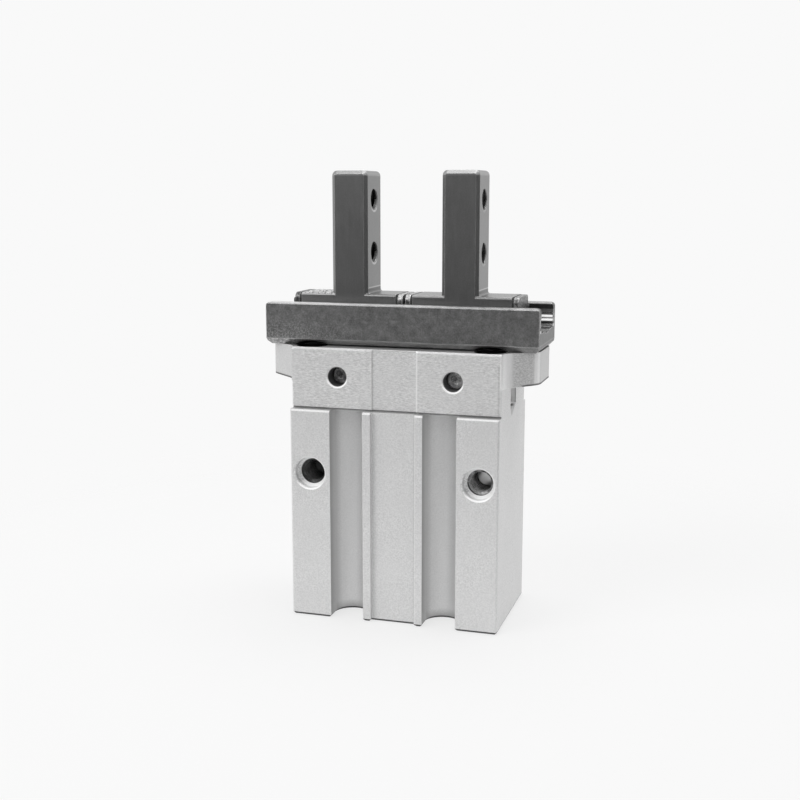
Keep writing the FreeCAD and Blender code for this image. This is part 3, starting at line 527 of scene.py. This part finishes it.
# Finishes of the threads, the rail and the fingers

def cut_thread(name, oily, bare, crest, depth):
    """Freshly cut thread turns, dark with oil in the roots, bare and lightened on the crests as wear and painted
    highlight, and painted black as shade in the depth.
    """
    material, tree, shader, place = new_finish(name)
    smear = noise(tree, place, scale=1400, detail=3.0, roughness=0.6)
    base = tones(tree, smear, (0.34, oily), (0.7, bare))
    # Wear and painted highlight on the crests.
    base = painted(tree, base, edge_share(tree, radius=0.12 * mm), crest)
    # Painted shade in the depth of the hole.
    base = painted(tree, base, depth(tree, axes(tree, place)["X"]), 0.015)
    normal = relief(tree, smear, strength=0.2, distance=0.02 * mm)
    dress(tree, shader, base, spread(tree, smear, 0.30, 0.46), 0.85, normal)
    return material


def left_thread_shade(tree, x):
    """Painted shade: the left threads of the body are darker than the right ones."""
    return falls(tree, x, -1 * mm, 1 * mm, top=0.80)


def finger_depth(tree, x):
    """How far from an upright's sides a point lies, 1 in the middle of the hole, where shade is painted."""
    wide = sums(tree, "ABSOLUTE", x)
    return band(tree, wide, finger_inner + 0.55 * mm, finger_outer - 0.55 * mm, soft=0.25 * mm)


def rail_steel():
    """Dark hardened rail: mottled skin, faint swirls and scratches, specks, ball raceways with polish streaks
    painted as highlights, and painted light and shade on its edges and in its channel.
    """
    material, tree, shader, place = new_finish("rail_steel")
    at = places(tree, place)
    mottle = noise(tree, place, scale=620, detail=5.0, roughness=0.7)
    grain = noise(tree, place, scale=4300, detail=3.0, roughness=0.65)
    streaks = noise(tree, stretched(tree, place, scale=(0.06, 1.0, 1.0)), scale=4200, detail=3.0, roughness=0.6)
    base = tones(tree, mottle, (0.34, 0.135), (0.52, 0.232), (0.68, 0.345))
    base = mixed(tree, 0.42, base, tones(tree, grain, (0.3, 0.09), (0.7, 0.37)))
    base = mixed(tree, 0.12, base, tones(tree, streaks, (0.3, 0.17), (0.7, 0.30)))
    rings = {"Vector": place, "Scale": 55.0, "Distortion": 9.0, "Detail": 3.0, "Detail Scale": 1.2}
    swirl = put(tree, "ShaderNodeTexWave", rings, wave_type="RINGS", rings_direction="Y").outputs["Fac"]
    broken = rises(tree, noise(tree, place, scale=330, detail=3.0), 0.5, 0.66, top=0.35)
    base = painted(tree, base, times(tree, rises(tree, swirl, 0.955, 1.0), broken), 0.42)
    base = rail_wear_and_highlights(tree, at, base, streaks)
    base, polished_highlight, slope = channel_tones(tree, at, base)
    rough = spread(tree, grain, 0.36, 0.50, 0.3, 0.7)
    rough = sums(tree, "SUBTRACT", rough, times(tree, polished_highlight, 0.32))
    normal = relief(tree, mottle, strength=0.10, distance=0.05 * mm, normal=eased_edges(tree, radius=0.14 * mm))
    normal = relief(tree, grain, strength=0.22, distance=0.015 * mm, normal=normal)
    inwards = times(tree, sums(tree, "SIGN", at.y), -0.9)
    rolled = put(tree, "ShaderNodeCombineXYZ", {"Y": inwards, "Z": slope}).outputs["Vector"]
    dress(tree, shader, base, rough, 0.9, mixed(tree, polished_highlight, normal, rolled))
    return material


def rail_wear_and_highlights(tree, at, base, streaks):
    """Specks at the left end and foot, a scuffed chamfer also painted lighter, a painted highlight along its top,
    dark end faces, edges lightened as wear and painted highlight, and a painted highlight on the top.
    """
    speck = rises(tree, noise(tree, at.place, scale=2700, detail=3.0, roughness=0.7), 0.48, 0.62, top=0.85)
    worn_end = spread(tree, at.x, 1.0, 0.12, rail_low[0] + 6 * mm, rail_low[0] + 20 * mm)
    worn_foot = spread(tree, at.z, 1.0, 0.15, rail_foot + 1.5 * mm, rail_foot + 5.5 * mm)
    long_side = spread(tree, sums(tree, "ABSOLUTE", at.sideways), 1.0, 0.2, 0.5, 0.9)
    base = painted(tree, base, times(tree, speck, worn_end, worn_foot, long_side), 0.60)
    # Scuffs on the chamfer, also painted light.
    scuffs = noise(tree, stretched(tree, at.place, scale=(0.12, 1.0, 1.0)), scale=2600, detail=4.0, roughness=0.7)
    scuffs = spread(tree, scuffs, 0.32, 0.85, 0.40, 0.60)
    chamfer = band(tree, at.z, rail_foot - 1 * mm, chamfer_top, soft=0.06 * mm)
    chamfer = times(tree, chamfer, spread(tree, at.wide, 1.0, 0.1, 15 * mm, 22 * mm))
    base = painted(tree, base, times(tree, chamfer, scuffs), 0.72)
    # Painted highlight along the chamfer's top, broken by the streaks.
    rubbed_highlight = band(tree, at.z, chamfer_top - 0.02 * mm, chamfer_top + 0.2 * mm, soft=0.03 * mm)
    base = painted(tree, base, times(tree, rubbed_highlight, spread(tree, streaks, 0.1, 0.8, 0.4, 0.6)), 0.55)
    base = painted(tree, base, rises(tree, at.wide, rail_end - 0.1 * mm, rail_end, top=0.42), 0.06)
    # Wear and painted highlight along the sharp edges.
    base = painted(tree, base, edge_share(tree, radius=0.2 * mm), 0.82)
    # Painted highlight on the top faces, strongest on the left.
    crown_highlight = rises(tree, at.z, rail_top - 0.3 * mm, rail_top - 0.1 * mm)
    crown_highlight = times(tree, crown_highlight, rises(tree, at.facing, 0.5, 0.8), falls(tree, at.x, -12 * mm, 16 * mm, top=0.65))
    return painted(tree, base, crown_highlight, 0.75)


def channel_tones(tree, at, base):
    """The rail's channel: lighter raceways, their polish streaks painted white as a highlight, painted light
    below them and painted shade on their lower rim, at the floor's ends and under the top; also returns the
    streaks and how far they lean upwards.
    """
    inner = falls(tree, at.deep, channel_half, channel_half + 0.1 * mm)
    raceway = band(tree, at.z, ball_z - raceway_half, ball_z + raceway_half, soft=0.05 * mm)
    base = painted(tree, base, times(tree, raceway, inner), 0.45)
    upper_streak = band(tree, at.z, ball_z - 0.04 * mm, ball_z + 0.42 * mm, soft=0.05 * mm)
    lower_streak = band(tree, at.z, ball_z - 0.75 * mm, ball_z - 0.38 * mm, soft=0.05 * mm)
    before_end = falls(tree, at.wide, rail_end - 0.25 * mm, rail_end - 0.1 * mm)
    polished_highlight = times(tree, most(tree, upper_streak, lower_streak), inner, before_end)
    # Painted highlight: the polish streaks white.
    base = painted(tree, base, polished_highlight, 1.0)
    # Painted light below the streaks, painted shade on their lower rim, on the floor's ends and under the top.
    below = band(tree, at.z, channel_floor + 0.1 * mm, ball_z - 1.3 * mm, soft=0.1 * mm)
    base = painted(tree, base, times(tree, below, inner, 0.75), 0.75)
    lower_rim = band(tree, at.z, ball_z - 1.25 * mm, ball_z - 0.82 * mm, soft=0.06 * mm)
    base = painted(tree, base, times(tree, lower_rim, inner, 0.8), 0.02)
    floor = band(tree, at.z, channel_floor - 0.9 * mm, channel_floor + 0.1 * mm, soft=0.05 * mm)
    floor = times(tree, floor, inner, rises(tree, at.facing, 0.2, 0.5))
    ends = rises(tree, at.wide, rail_end - 2.6 * mm, rail_end - 2 * mm, top=0.8)
    base = painted(tree, base, times(tree, floor, ends), 0.08)
    shadow = band(tree, at.z, rail_top - 1.3 * mm, rail_top - 0.25 * mm, soft=0.15 * mm)
    base = painted(tree, base, times(tree, shadow, inner, 0.8), 0.01)
    return base, polished_highlight, spread(tree, upper_streak, 0.46, 0.34)


def finger_steel():
    """Dark ground fingers: even fronts, faint brushing along Z and a speckled top on the left base."""
    material, tree, shader, place = new_finish("finger_steel")
    at = places(tree, place)
    streaks = noise(tree, stretched(tree, place, scale=(1.0, 1.0, 0.06)), scale=4200, detail=3.0, roughness=0.6)
    grain = noise(tree, place, scale=4600, detail=3.0, roughness=0.6)
    cloud = noise(tree, place, scale=240, detail=4.0, roughness=0.6)
    base = tones(tree, cloud, (0.3, 0.212), (0.72, 0.238))
    base = mixed(tree, 0.22, base, tones(tree, streaks, (0.3, 0.17), (0.7, 0.26)))
    base = mixed(tree, 0.22, base, tones(tree, grain, (0.3, 0.12), (0.7, 0.28)))
    top = band(tree, at.z, base_top - 0.5 * mm, base_top + 0.06 * mm, soft=0.03 * mm)
    top = times(tree, top, rises(tree, at.facing, 0.6, 0.95))
    left_top = times(tree, top, spread(tree, at.x, 1.0, 0.06, -15 * mm, -13 * mm))
    crystals = noise(tree, stretched(tree, place, scale=(1.0, 0.22, 1.0)), scale=4500, detail=2.0, roughness=0.6)
    base = mixed(tree, left_top, base, tones(tree, crystals, (0.42, 0.12), (0.5, 0.38), (0.58, 0.82)))
    # Wear and painted highlight along the sharp edges.
    base = painted(tree, base, edge_share(tree, radius=0.2 * mm), 0.60)
    base = upright_tones(tree, at, base)
    rough = most(tree, spread(tree, streaks, 0.31, 0.42), left_top)
    normal = relief(tree, grain, strength=0.12, distance=0.012 * mm, normal=eased_edges(tree, radius=0.14 * mm))
    dress(tree, shader, base, rough, falls(tree, left_top, 0.0, 1.0, top=0.9), normal)
    return material


def upright_tones(tree, at, base):
    """Painted highlights at the tips, a painted shade line and a painted highlight line at the roots, and holes
    in painted shade, with wear and a painted highlight along their lower rims.
    """
    # Painted highlight near the tops of the uprights.
    tip = rises(tree, at.z, finger_tip - 1.1 * mm, finger_tip - 0.9 * mm, top=0.30)
    base = painted(tree, base, times(tree, tip, falls(tree, at.facing, 0.5, 0.8)), 0.55)
    upright_side = rises(tree, sums(tree, "ABSOLUTE", at.sideways), 0.75, 0.9)
    # A painted shade line and a painted highlight line at the roots.
    for low, high, share, tone in ((0.2, 0.9, 0.45, 0.03), (1.0, 1.2, 0.5, 0.75)):
        root = band(tree, at.z, base_top + low * mm, base_top + high * mm, soft=0.06 * mm)
        base = painted(tree, base, times(tree, root, upright_side, share), tone)
    middle = finger_depth(tree, at.x)
    worn_highlight = times(tree, upright_side, spread(tree, at.x, 0.40, 0.12, -2 * mm, 2 * mm))
    # Painted shade in the holes, wear and a painted highlight along their lower rims.
    for height in finger_hole_heights:
        hole = inside_hole(tree, at.y, at.z, (0.0, height), finger_hole_radius)
        base = painted(tree, base, times(tree, hole, middle), 0.01)
        rim = inside_hole(tree, at.y, at.z, (0.0, height), finger_rim_radius)
        below = falls(tree, at.z, height - 2.2 * mm, height - 1.3 * mm)
        base = painted(tree, base, times(tree, rim, worn_highlight, below), 0.85)
    return base


# Finishes of the smaller pieces

def end_plate_steel():
    """Stamped end plates: mottled, the inner ones lighter towards their tops as a painted highlight, the outer
    left one darker, and edges brighter with wear and painted highlight.
    """
    material, tree, shader, place = new_finish("end_plate_steel")
    x, _, z = axes(tree, place)
    mottle = noise(tree, place, scale=2300, detail=3.0, roughness=0.65)
    inner = falls(tree, sums(tree, "ABSOLUTE", x), 4 * mm, 6 * mm)
    dark = tones(tree, mottle, (0.36, 0.07), (0.52, 0.21), (0.66, 0.43))
    # Painted highlight towards the tops of the inner plates.
    crest = rises(tree, z, base_top - 1.4 * mm, base_top - 0.6 * mm)
    bare = mixed(tree, crest, tones(tree, mottle, (0.38, 0.08), (0.60, 0.26)),
                 tones(tree, mottle, (0.38, 0.18), (0.50, 0.36), (0.60, 0.56)))
    base = mixed(tree, inner, dark, bare)
    base = painted(tree, base, falls(tree, x, -18 * mm, -16 * mm, top=0.6), 0.03)
    # Wear and painted highlight along the sharp edges.
    base = mixed(tree, edge_share(tree, radius=0.25 * mm), base, mixed(tree, inner, solid(0.50), solid(0.85)))
    normal = relief(tree, mottle, strength=0.45, distance=0.05 * mm, normal=eased_edges(tree, radius=0.12 * mm))
    dress(tree, shader, base, spread(tree, mottle, 0.5, 0.3), 0.85, normal)
    return material


def black_rubber():
    """Moulded seals with fine pores."""
    material, tree, shader, place = new_finish("black_rubber")
    pores = noise(tree, place, scale=2600, detail=2.0)
    base = tones(tree, pores, (0.3, 0.012), (0.7, 0.03))
    normal = relief(tree, pores, strength=0.15, distance=0.02 * mm)
    dress(tree, shader, base, spread(tree, pores, 0.55, 0.75), 0.0, normal)
    return material


def ground_shaft():
    """Lever shafts: oily ends with a rim painted light as a highlight, a ring beside the centre painted light and
    dark as the highlight and shade of a dimple, a painted highlight spot below it, and the left shaft darker with
    painted shade.
    """
    material, tree, shader, place = new_finish("ground_shaft")
    x, _, z = axes(tree, place)
    across = from_middle(tree, x, shaft_x)
    smear = noise(tree, place, scale=1500, detail=3.0, roughness=0.65)
    base = tones(tree, smear, (0.38, 0.40), (0.5, 0.75), (0.62, 1.0))
    end_face = inside_hole(tree, across, z, (0.0, shaft_z), shaft_radius - 0.3 * mm)
    # Painted highlight on the rim around the end face.
    base = painted(tree, base, spread(tree, end_face, 0.5, 0.0), 0.8)
    # Painted highlight and shade of a dimple beside the centre, and a painted highlight spot below it.
    ring = (-0.45 * mm, shaft_z + 0.3 * mm)
    bright_spot = (0.2 * mm, shaft_z - 0.25 * mm)
    for middle, radius, share, tone in ((ring, 0.78 * mm, 0.4, 0.7), (ring, 0.58 * mm, 0.6, 0.08),
                                        (ring, 0.24 * mm, 0.6, 0.5), (bright_spot, 0.22 * mm, 1.0, 1.0)):
        spot_light_and_shade = inside_hole(tree, across, z, middle, radius)
        base = painted(tree, base, times(tree, spot_light_and_shade, share), tone)
    # Painted shade over the left shaft.
    base = painted(tree, base, falls(tree, x, -1 * mm, 1 * mm, top=0.5), 0.0)
    normal = relief(tree, smear, strength=0.3, distance=0.08 * mm, normal=eased_edges(tree, radius=0.2 * mm))
    dress(tree, shader, base, spread(tree, smear, 0.16, 0.34), 0.55, normal)
    return material


def turned_metal(name, colour, roughness, metallic=1.0):
    """Turned or drawn pieces: fine grain, slight tone changes and edges brighter with wear and painted highlight.
    """
    material, tree, shader, place = new_finish(name)
    dark, light, worn_highlight = (tuple(min(1.0, share * part) for part in colour) for share in (0.85, 1.12, 1.6))
    grain = noise(tree, place, scale=2800, detail=3.0)
    base = shades(tree, grain, (0.3, dark), (0.7, light))
    # Wear and painted highlight along the sharp edges.
    base = mixed(tree, edge_share(tree, radius=0.12 * mm), base, (*worn_highlight, 1.0))
    rough = spread(tree, grain, roughness - 0.06, roughness + 0.06)
    normal = relief(tree, grain, strength=0.1, distance=0.01 * mm, normal=eased_edges(tree, radius=0.1 * mm))
    dress(tree, shader, base, rough, metallic, normal)
    return material


finishes = {
    "body_aluminium": blasted_aluminium(),
    "rail_steel": rail_steel(),
    "finger_steel": finger_steel(),
    "plate_steel": end_plate_steel(),
    "seal_rubber": black_rubber(),
    "ball_steel": turned_metal("ball_steel", grey(0.62), roughness=0.15),
    "lever_steel": turned_metal("lever_steel", grey(0.30), roughness=0.40),
    "shaft_steel": ground_shaft(),
    "screw_steel": turned_metal("screw_steel", grey(0.22), roughness=0.38),
    "piston_aluminium": turned_metal("piston_aluminium", grey(0.66), roughness=0.35),
    "rod_steel": turned_metal("rod_steel", grey(0.56), roughness=0.2),
    "bush_bronze": turned_metal("bush_bronze", (0.55, 0.38, 0.20), roughness=0.4),
    "magnet": turned_metal("magnet", (0.10, 0.10, 0.11), roughness=0.5, metallic=0.5),
    "wear_polymer": turned_metal("wear_polymer", (0.50, 0.46, 0.38), roughness=0.5, metallic=0.0),
    "cap_aluminium": turned_metal("cap_aluminium", grey(0.62), roughness=0.42),
    "ring_steel": turned_metal("ring_steel", (0.20, 0.20, 0.21), roughness=0.35),
}
thread_finishes = {
    "body_aluminium": cut_thread("cut_thread_aluminium", oily=0.06, bare=0.36, crest=0.50, depth=left_thread_shade),
    "finger_steel": cut_thread("cut_thread_steel", oily=0.05, bare=0.22, crest=0.45, depth=finger_depth),
}

for entry in record["subparts"]:
    for material_slot in frame["nodes"][entry["node"]].material_slots:
        material_slot.material = finishes[entry["material_slot"]]


# Modelling helpers

def shape_start():
    """Nothing selected, ready for a new primitive."""
    bpy.ops.object.select_all(action="DESELECT")


def settle():
    """Leaves the piece's place, turn and size in its mesh."""
    bpy.ops.object.transform_apply(location=True, rotation=True, scale=True)


def edit(piece):
    bpy.context.view_layer.objects.active = piece
    bpy.ops.object.mode_set(mode="EDIT")


def leave_edit():
    bpy.ops.object.mode_set(mode="OBJECT")


def pick(kind, test):
    """Selects, in edit mode, the points, edges or faces that pass a test."""
    bpy.ops.mesh.select_mode(type=kind)
    bpy.ops.mesh.select_all(action="DESELECT")
    mesh = bmesh.from_edit_mesh(bpy.context.edit_object.data)
    for item in {"VERT": mesh.verts, "EDGE": mesh.edges, "FACE": mesh.faces}[kind]:
        if test(item):
            item.select_set(True)
    bmesh.update_edit_mesh(bpy.context.edit_object.data)


def pick_all():
    bpy.ops.mesh.select_all(action="SELECT")


def another(piece, name):
    """A copy with its own mesh, selected and active."""
    shape_start()
    piece.select_set(True)
    bpy.context.view_layer.objects.active = piece
    bpy.ops.object.duplicate()
    copy = bpy.context.object
    copy.name = name
    return copy


def remove(piece):
    shape_start()
    piece.select_set(True)
    bpy.ops.object.delete()


def set_into(piece, place, direction):
    """Turns the piece's Z to a direction and puts its origin at a place."""
    piece.rotation_euler = Vector(direction).to_track_quat("Z", "Y").to_euler()
    piece.location = place
    settle()


def finish_piece(piece, finish, body):
    piece.data.materials.clear()
    piece.data.materials.append(finish)
    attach(piece, body)


# Cut threads

def thread_turns(hole_radius_mm, length):
    """Thread ridges along +Z from the origin: one tooth's outline, swept by a screw and closed at its ends."""
    pitch = coarse_pitch[hole_radius_mm]
    outer = hole_radius_mm * mm + thread_seat
    height = thread_core_share * pitch + thread_seat
    shape_start()
    bpy.ops.mesh.primitive_plane_add(size=1.0, rotation=(math.pi / 2, 0, 0))
    tooth = bpy.context.object
    tooth.name = "thread_turns"
    settle()
    edit(tooth)
    pick_all()
    bpy.ops.transform.resize(value=(height, 1.0, thread_root_share * pitch))
    bpy.ops.transform.translate(value=(outer - height / 2, 0, pitch / 2))
    pick("VERT", lambda point: point.co.x < outer - height / 2)
    bpy.ops.transform.resize(value=(1.0, 1.0, thread_crest_share))
    pick_all()
    bpy.ops.mesh.delete(type="ONLY_FACE")
    leave_edit()
    sweep = tooth.modifiers.new("sweep", "SCREW")
    sweep.axis = "Z"
    sweep.screw_offset = pitch
    sweep.iterations = int(length / pitch)
    sweep.steps = thread_steps
    sweep.render_steps = thread_steps
    bpy.ops.object.modifier_apply(modifier=sweep.name)
    edit(tooth)
    pick_all()
    bpy.ops.mesh.fill_holes(sides=4)
    bpy.ops.mesh.normals_make_consistent(inside=False)
    leave_edit()
    bpy.ops.object.shade_smooth_by_angle(angle=thread_smooth)
    return tooth


def tap(turns, name, place, direction, slot, body):
    """Puts a copy of the thread turns into one hole."""
    thread = another(turns, name)
    set_into(thread, place, direction)
    finish_piece(thread, thread_finishes[slot], body)


def add_side_threads():
    turns = thread_turns(side_thread["dims"]["hole_r_mm"], side_thread_length)
    for side, sy in sides:
        for hand, sx in hands:
            place = (sx * side_hole_x, sy * (body_face - side_mouth), side_hole_z)
            tap(turns, side + "_" + hand + "_thread", place, (0, -sy, 0), "body_aluminium", "housing")
    remove(turns)


def add_rear_threads():
    rear = mounts["rear_threads"]["dims"]
    turns = thread_turns(rear["hole_r_mm"], rear_thread_length)
    for side, sy in sides:
        for hand, sx in hands:
            place = (sx * rear["spacing_x_mm"] / 2 * mm, sy * rear["spacing_y_mm"] / 2 * mm, rear_mouth)
            tap(turns, "rear_" + side + "_" + hand + "_thread", place, (0, 0, 1), "body_aluminium", "housing")
    remove(turns)


def add_port_threads():
    turns = thread_turns(mounts["open_port"]["dims"]["r_mm"], port_thread_length)
    for name in ("open_port", "close_port"):
        height = mounts[name]["pos_m"][2]
        tap(turns, name + "_thread", (port_mouth - block_side, 0, height), (1, 0, 0), "body_aluminium", "housing")
    remove(turns)


def add_finger_threads():
    turns = thread_turns(finger_thread["dims"]["hole_r_mm"], finger_thread_length)
    for hand, sx in hands:
        outer = mounts[hand + "_finger_threads"]["pos_m"][0]
        for row, height in zip(("lower", "upper"), finger_hole_heights):
            place = (outer - sx * finger_mouth, 0, height)
            tap(turns, hand + "_" + row + "_finger_thread", place, (-sx, 0, 0), "finger_steel", hand + "_slider")
    remove(turns)


# End plate screws

def socket_point(place, turn):
    """Whether a point of the inset ring lies at one turn, in degrees, within its sixth of the socket."""
    on_ring = abs(place.z) < near / 10 and place.xy.length < plate_screw_socket + near
    angle = math.degrees(math.atan2(place.y, place.x)) % hexagon_turn
    return on_ring and abs(angle - turn) < 1


def socket_floor(face, cone):
    """Whether a face is the round field within the inset ring."""
    level = face.calc_center_median().z > -cone
    return level and face.normal.z > upwards and len(face.verts) == plate_screw_sides


def countersunk_screw(head_radius):
    """A small countersunk screw along -Z, its head's face at the origin, with a hexagon socket."""
    cone = head_radius - plate_screw_shank
    widen = head_radius / plate_screw_shank
    shape_start()
    bpy.ops.mesh.primitive_cylinder_add(vertices=plate_screw_sides, radius=plate_screw_shank,
                                        depth=plate_screw_length, location=(0, 0, -plate_screw_length / 2))
    screw = bpy.context.object
    settle()
    edit(screw)
    pick_all()
    bpy.ops.mesh.bisect(plane_co=(0, 0, -cone), plane_no=(0, 0, 1))
    pick("FACE", lambda face: face.normal.z > upwards)
    bpy.ops.transform.resize(value=(widen, widen, 1.0))
    bpy.ops.mesh.inset(thickness=head_radius - plate_screw_socket)
    for turn in (15, 30, 45):
        share = math.cos(math.radians(hexagon_turn / 2)) / math.cos(math.radians(turn - hexagon_turn / 2))
        pick("VERT", lambda point: socket_point(point.co, turn))
        bpy.ops.transform.resize(value=(share, share, 1.0))
    pick("FACE", lambda face: socket_floor(face, cone))
    bpy.ops.mesh.extrude_region_move(TRANSFORM_OT_translate={"value": (0, 0, -plate_screw_socket_depth)})
    pick("EDGE", lambda edge: all(abs(point.co.xy.length - head_radius) < near for point in edge.verts))
    bpy.ops.mesh.bevel(offset=plate_screw_edge, segments=2)
    pick_all()
    bpy.ops.mesh.normals_make_consistent(inside=False)
    leave_edit()
    bpy.ops.object.shade_smooth_by_angle(angle=plate_screw_smooth)
    return screw


def add_plate_screws(hand):
    """The four screws of one finger's end plates, at the places of the CAD node that they stand for."""
    node = hand + "_plate_screws"
    low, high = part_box(node)
    head_radius = (high[2] - low[2]) / 2
    height = (high[2] + low[2]) / 2
    screw = countersunk_screw(head_radius)
    copies = []
    for x, direction in ((low[0], -1), (high[0], 1)):
        for y in (low[1] + head_radius, high[1] - head_radius):
            copy = another(screw, node + "_copy")
            set_into(copy, (x, y, height), (direction, 0, 0))
            copies.append(copy)
    remove(screw)
    shape_start()
    for copy in copies:
        copy.select_set(True)
    bpy.context.view_layer.objects.active = copies[0]
    bpy.ops.object.join()
    copies[0].name = hand + "_plate_screw_set"
    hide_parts(node)
    finish_piece(copies[0], finishes["screw_steel"], hand + "_slider")


add_side_threads()
add_rear_threads()
add_port_threads()
add_finger_threads()
add_plate_screws("left")
add_plate_screws("right")


# Studio: floor, dark cards, lamps, white surround and camera

def seen_as_background(tree):
    """1 for the rays that show the background: those of the camera, of gloss and through glass."""
    path = put(tree, "ShaderNodeLightPath").outputs
    return most(tree, path["Is Camera Ray"], path["Is Glossy Ray"], path["Is Transmission Ray"])


def floor_paper():
    """Pale paper that takes a light shadow and fades into the white surround away from the object."""
    material, tree, shader, place = new_finish("floor_paper")
    lit = tones(tree, noise(tree, place, scale=900, detail=2.0), (0.3, 0.86), (0.7, 0.88))
    seen = seen_as_background(tree)
    feed(tree, shader.inputs["Base Color"], mixed(tree, seen, lit, solid(floor_shown)))
    shader.inputs["Roughness"].default_value = 0.9
    glow = put(tree, "ShaderNodeEmission", {"Color": solid(background_white)}).outputs["Emission"]
    share = times(tree, seen, floor_glow)
    paper = put(tree, "ShaderNodeMixShader", {0: share, 1: shader.outputs["BSDF"], 2: glow}).outputs["Shader"]
    distance = put(tree, "ShaderNodeVectorMath", {0: place}, operation="LENGTH").outputs["Value"]
    away = rises(tree, distance, floor_fade, floor_radius)
    clear = put(tree, "ShaderNodeBsdfTransparent").outputs["BSDF"]
    faded = put(tree, "ShaderNodeMixShader", {0: away, 1: paper, 2: clear}).outputs["Shader"]
    feed(tree, tree.nodes["Material Output"].inputs["Surface"], faded)
    return material


def add_floor():
    shape_start()
    bpy.ops.mesh.primitive_circle_add(vertices=floor_corners, radius=floor_radius, fill_type="NGON",
                                      location=(0, 0, -floor_drop))
    floor = bpy.context.object
    floor.name = "floor"
    settle()
    floor.data.materials.append(floor_paper())


def aim(holder, place, target):
    """Puts a lamp or a card at a place, turned to the target."""
    holder.location = place
    holder.rotation_euler = (Vector(target) - Vector(place)).to_track_quat("-Z", "Y").to_euler()


def add_lamp(name, place, size, power):
    lamp = bpy.data.lights.new(name, "AREA")
    lamp.shape = "RECTANGLE"
    lamp.size, lamp.size_y = size
    lamp.energy = power
    holder = bpy.data.objects.new(name, lamp)
    aim(holder, place, object_middle)
    bpy.context.scene.collection.objects.link(holder)


def card_paper():
    """Black paper of the dark cards, which only reflections show."""
    material, tree, shader, place = new_finish("card_paper")
    feed(tree, shader.inputs["Base Color"], tones(tree, noise(tree, place, scale=40), (0.3, 0.015), (0.7, 0.025)))
    return material


def add_card(name, place, size):
    """A dark card that gives the steel its dark reflections; no light is lost behind it."""
    shape_start()
    bpy.ops.mesh.primitive_plane_add(size=1.0)
    card = bpy.context.object
    card.name = name
    card.scale = (*size, 1.0)
    aim(card, place, object_middle)
    settle()
    card.data.materials.append(card_paper())
    card.visible_camera = False
    card.visible_diffuse = False
    card.visible_shadow = False


def white_surround():
    world = bpy.data.worlds.new("white_surround")
    bpy.context.scene.world = world
    world.use_nodes = True
    tree = world.node_tree
    shader = tree.nodes["Background"]
    shader.inputs["Color"].default_value = solid(background_white)
    feed(tree, shader.inputs["Strength"], spread(tree, seen_as_background(tree), surround_light, 1.0))


def add_camera():
    lens = bpy.data.cameras.new("photo_camera")
    lens.lens = camera_lens
    lens.sensor_width = camera_sensor
    lens.clip_start = camera_near
    holder = bpy.data.objects.new("photo_camera", lens)
    holder.location = camera_place
    holder.rotation_euler = (math.pi / 2 - camera_pitch, 0.0, camera_yaw)
    bpy.context.scene.collection.objects.link(holder)
    bpy.context.scene.camera = holder


add_floor()
add_card("front_card", place=(-0.05, -0.75, -0.10), size=(1.3, 0.8))
add_card("right_card", place=(0.75, -0.20, -0.05), size=(0.7, 0.6))
add_lamp("left_softbox", place=(-0.40, -0.45, 0.45), size=(0.40, 0.40), power=1.95)
add_lamp("top_softbox", place=(0.05, 0.10, 0.60), size=(0.5, 0.4), power=2.2)
white_surround()
add_camera()
bpy.context.scene.view_settings.view_transform = "Standard"
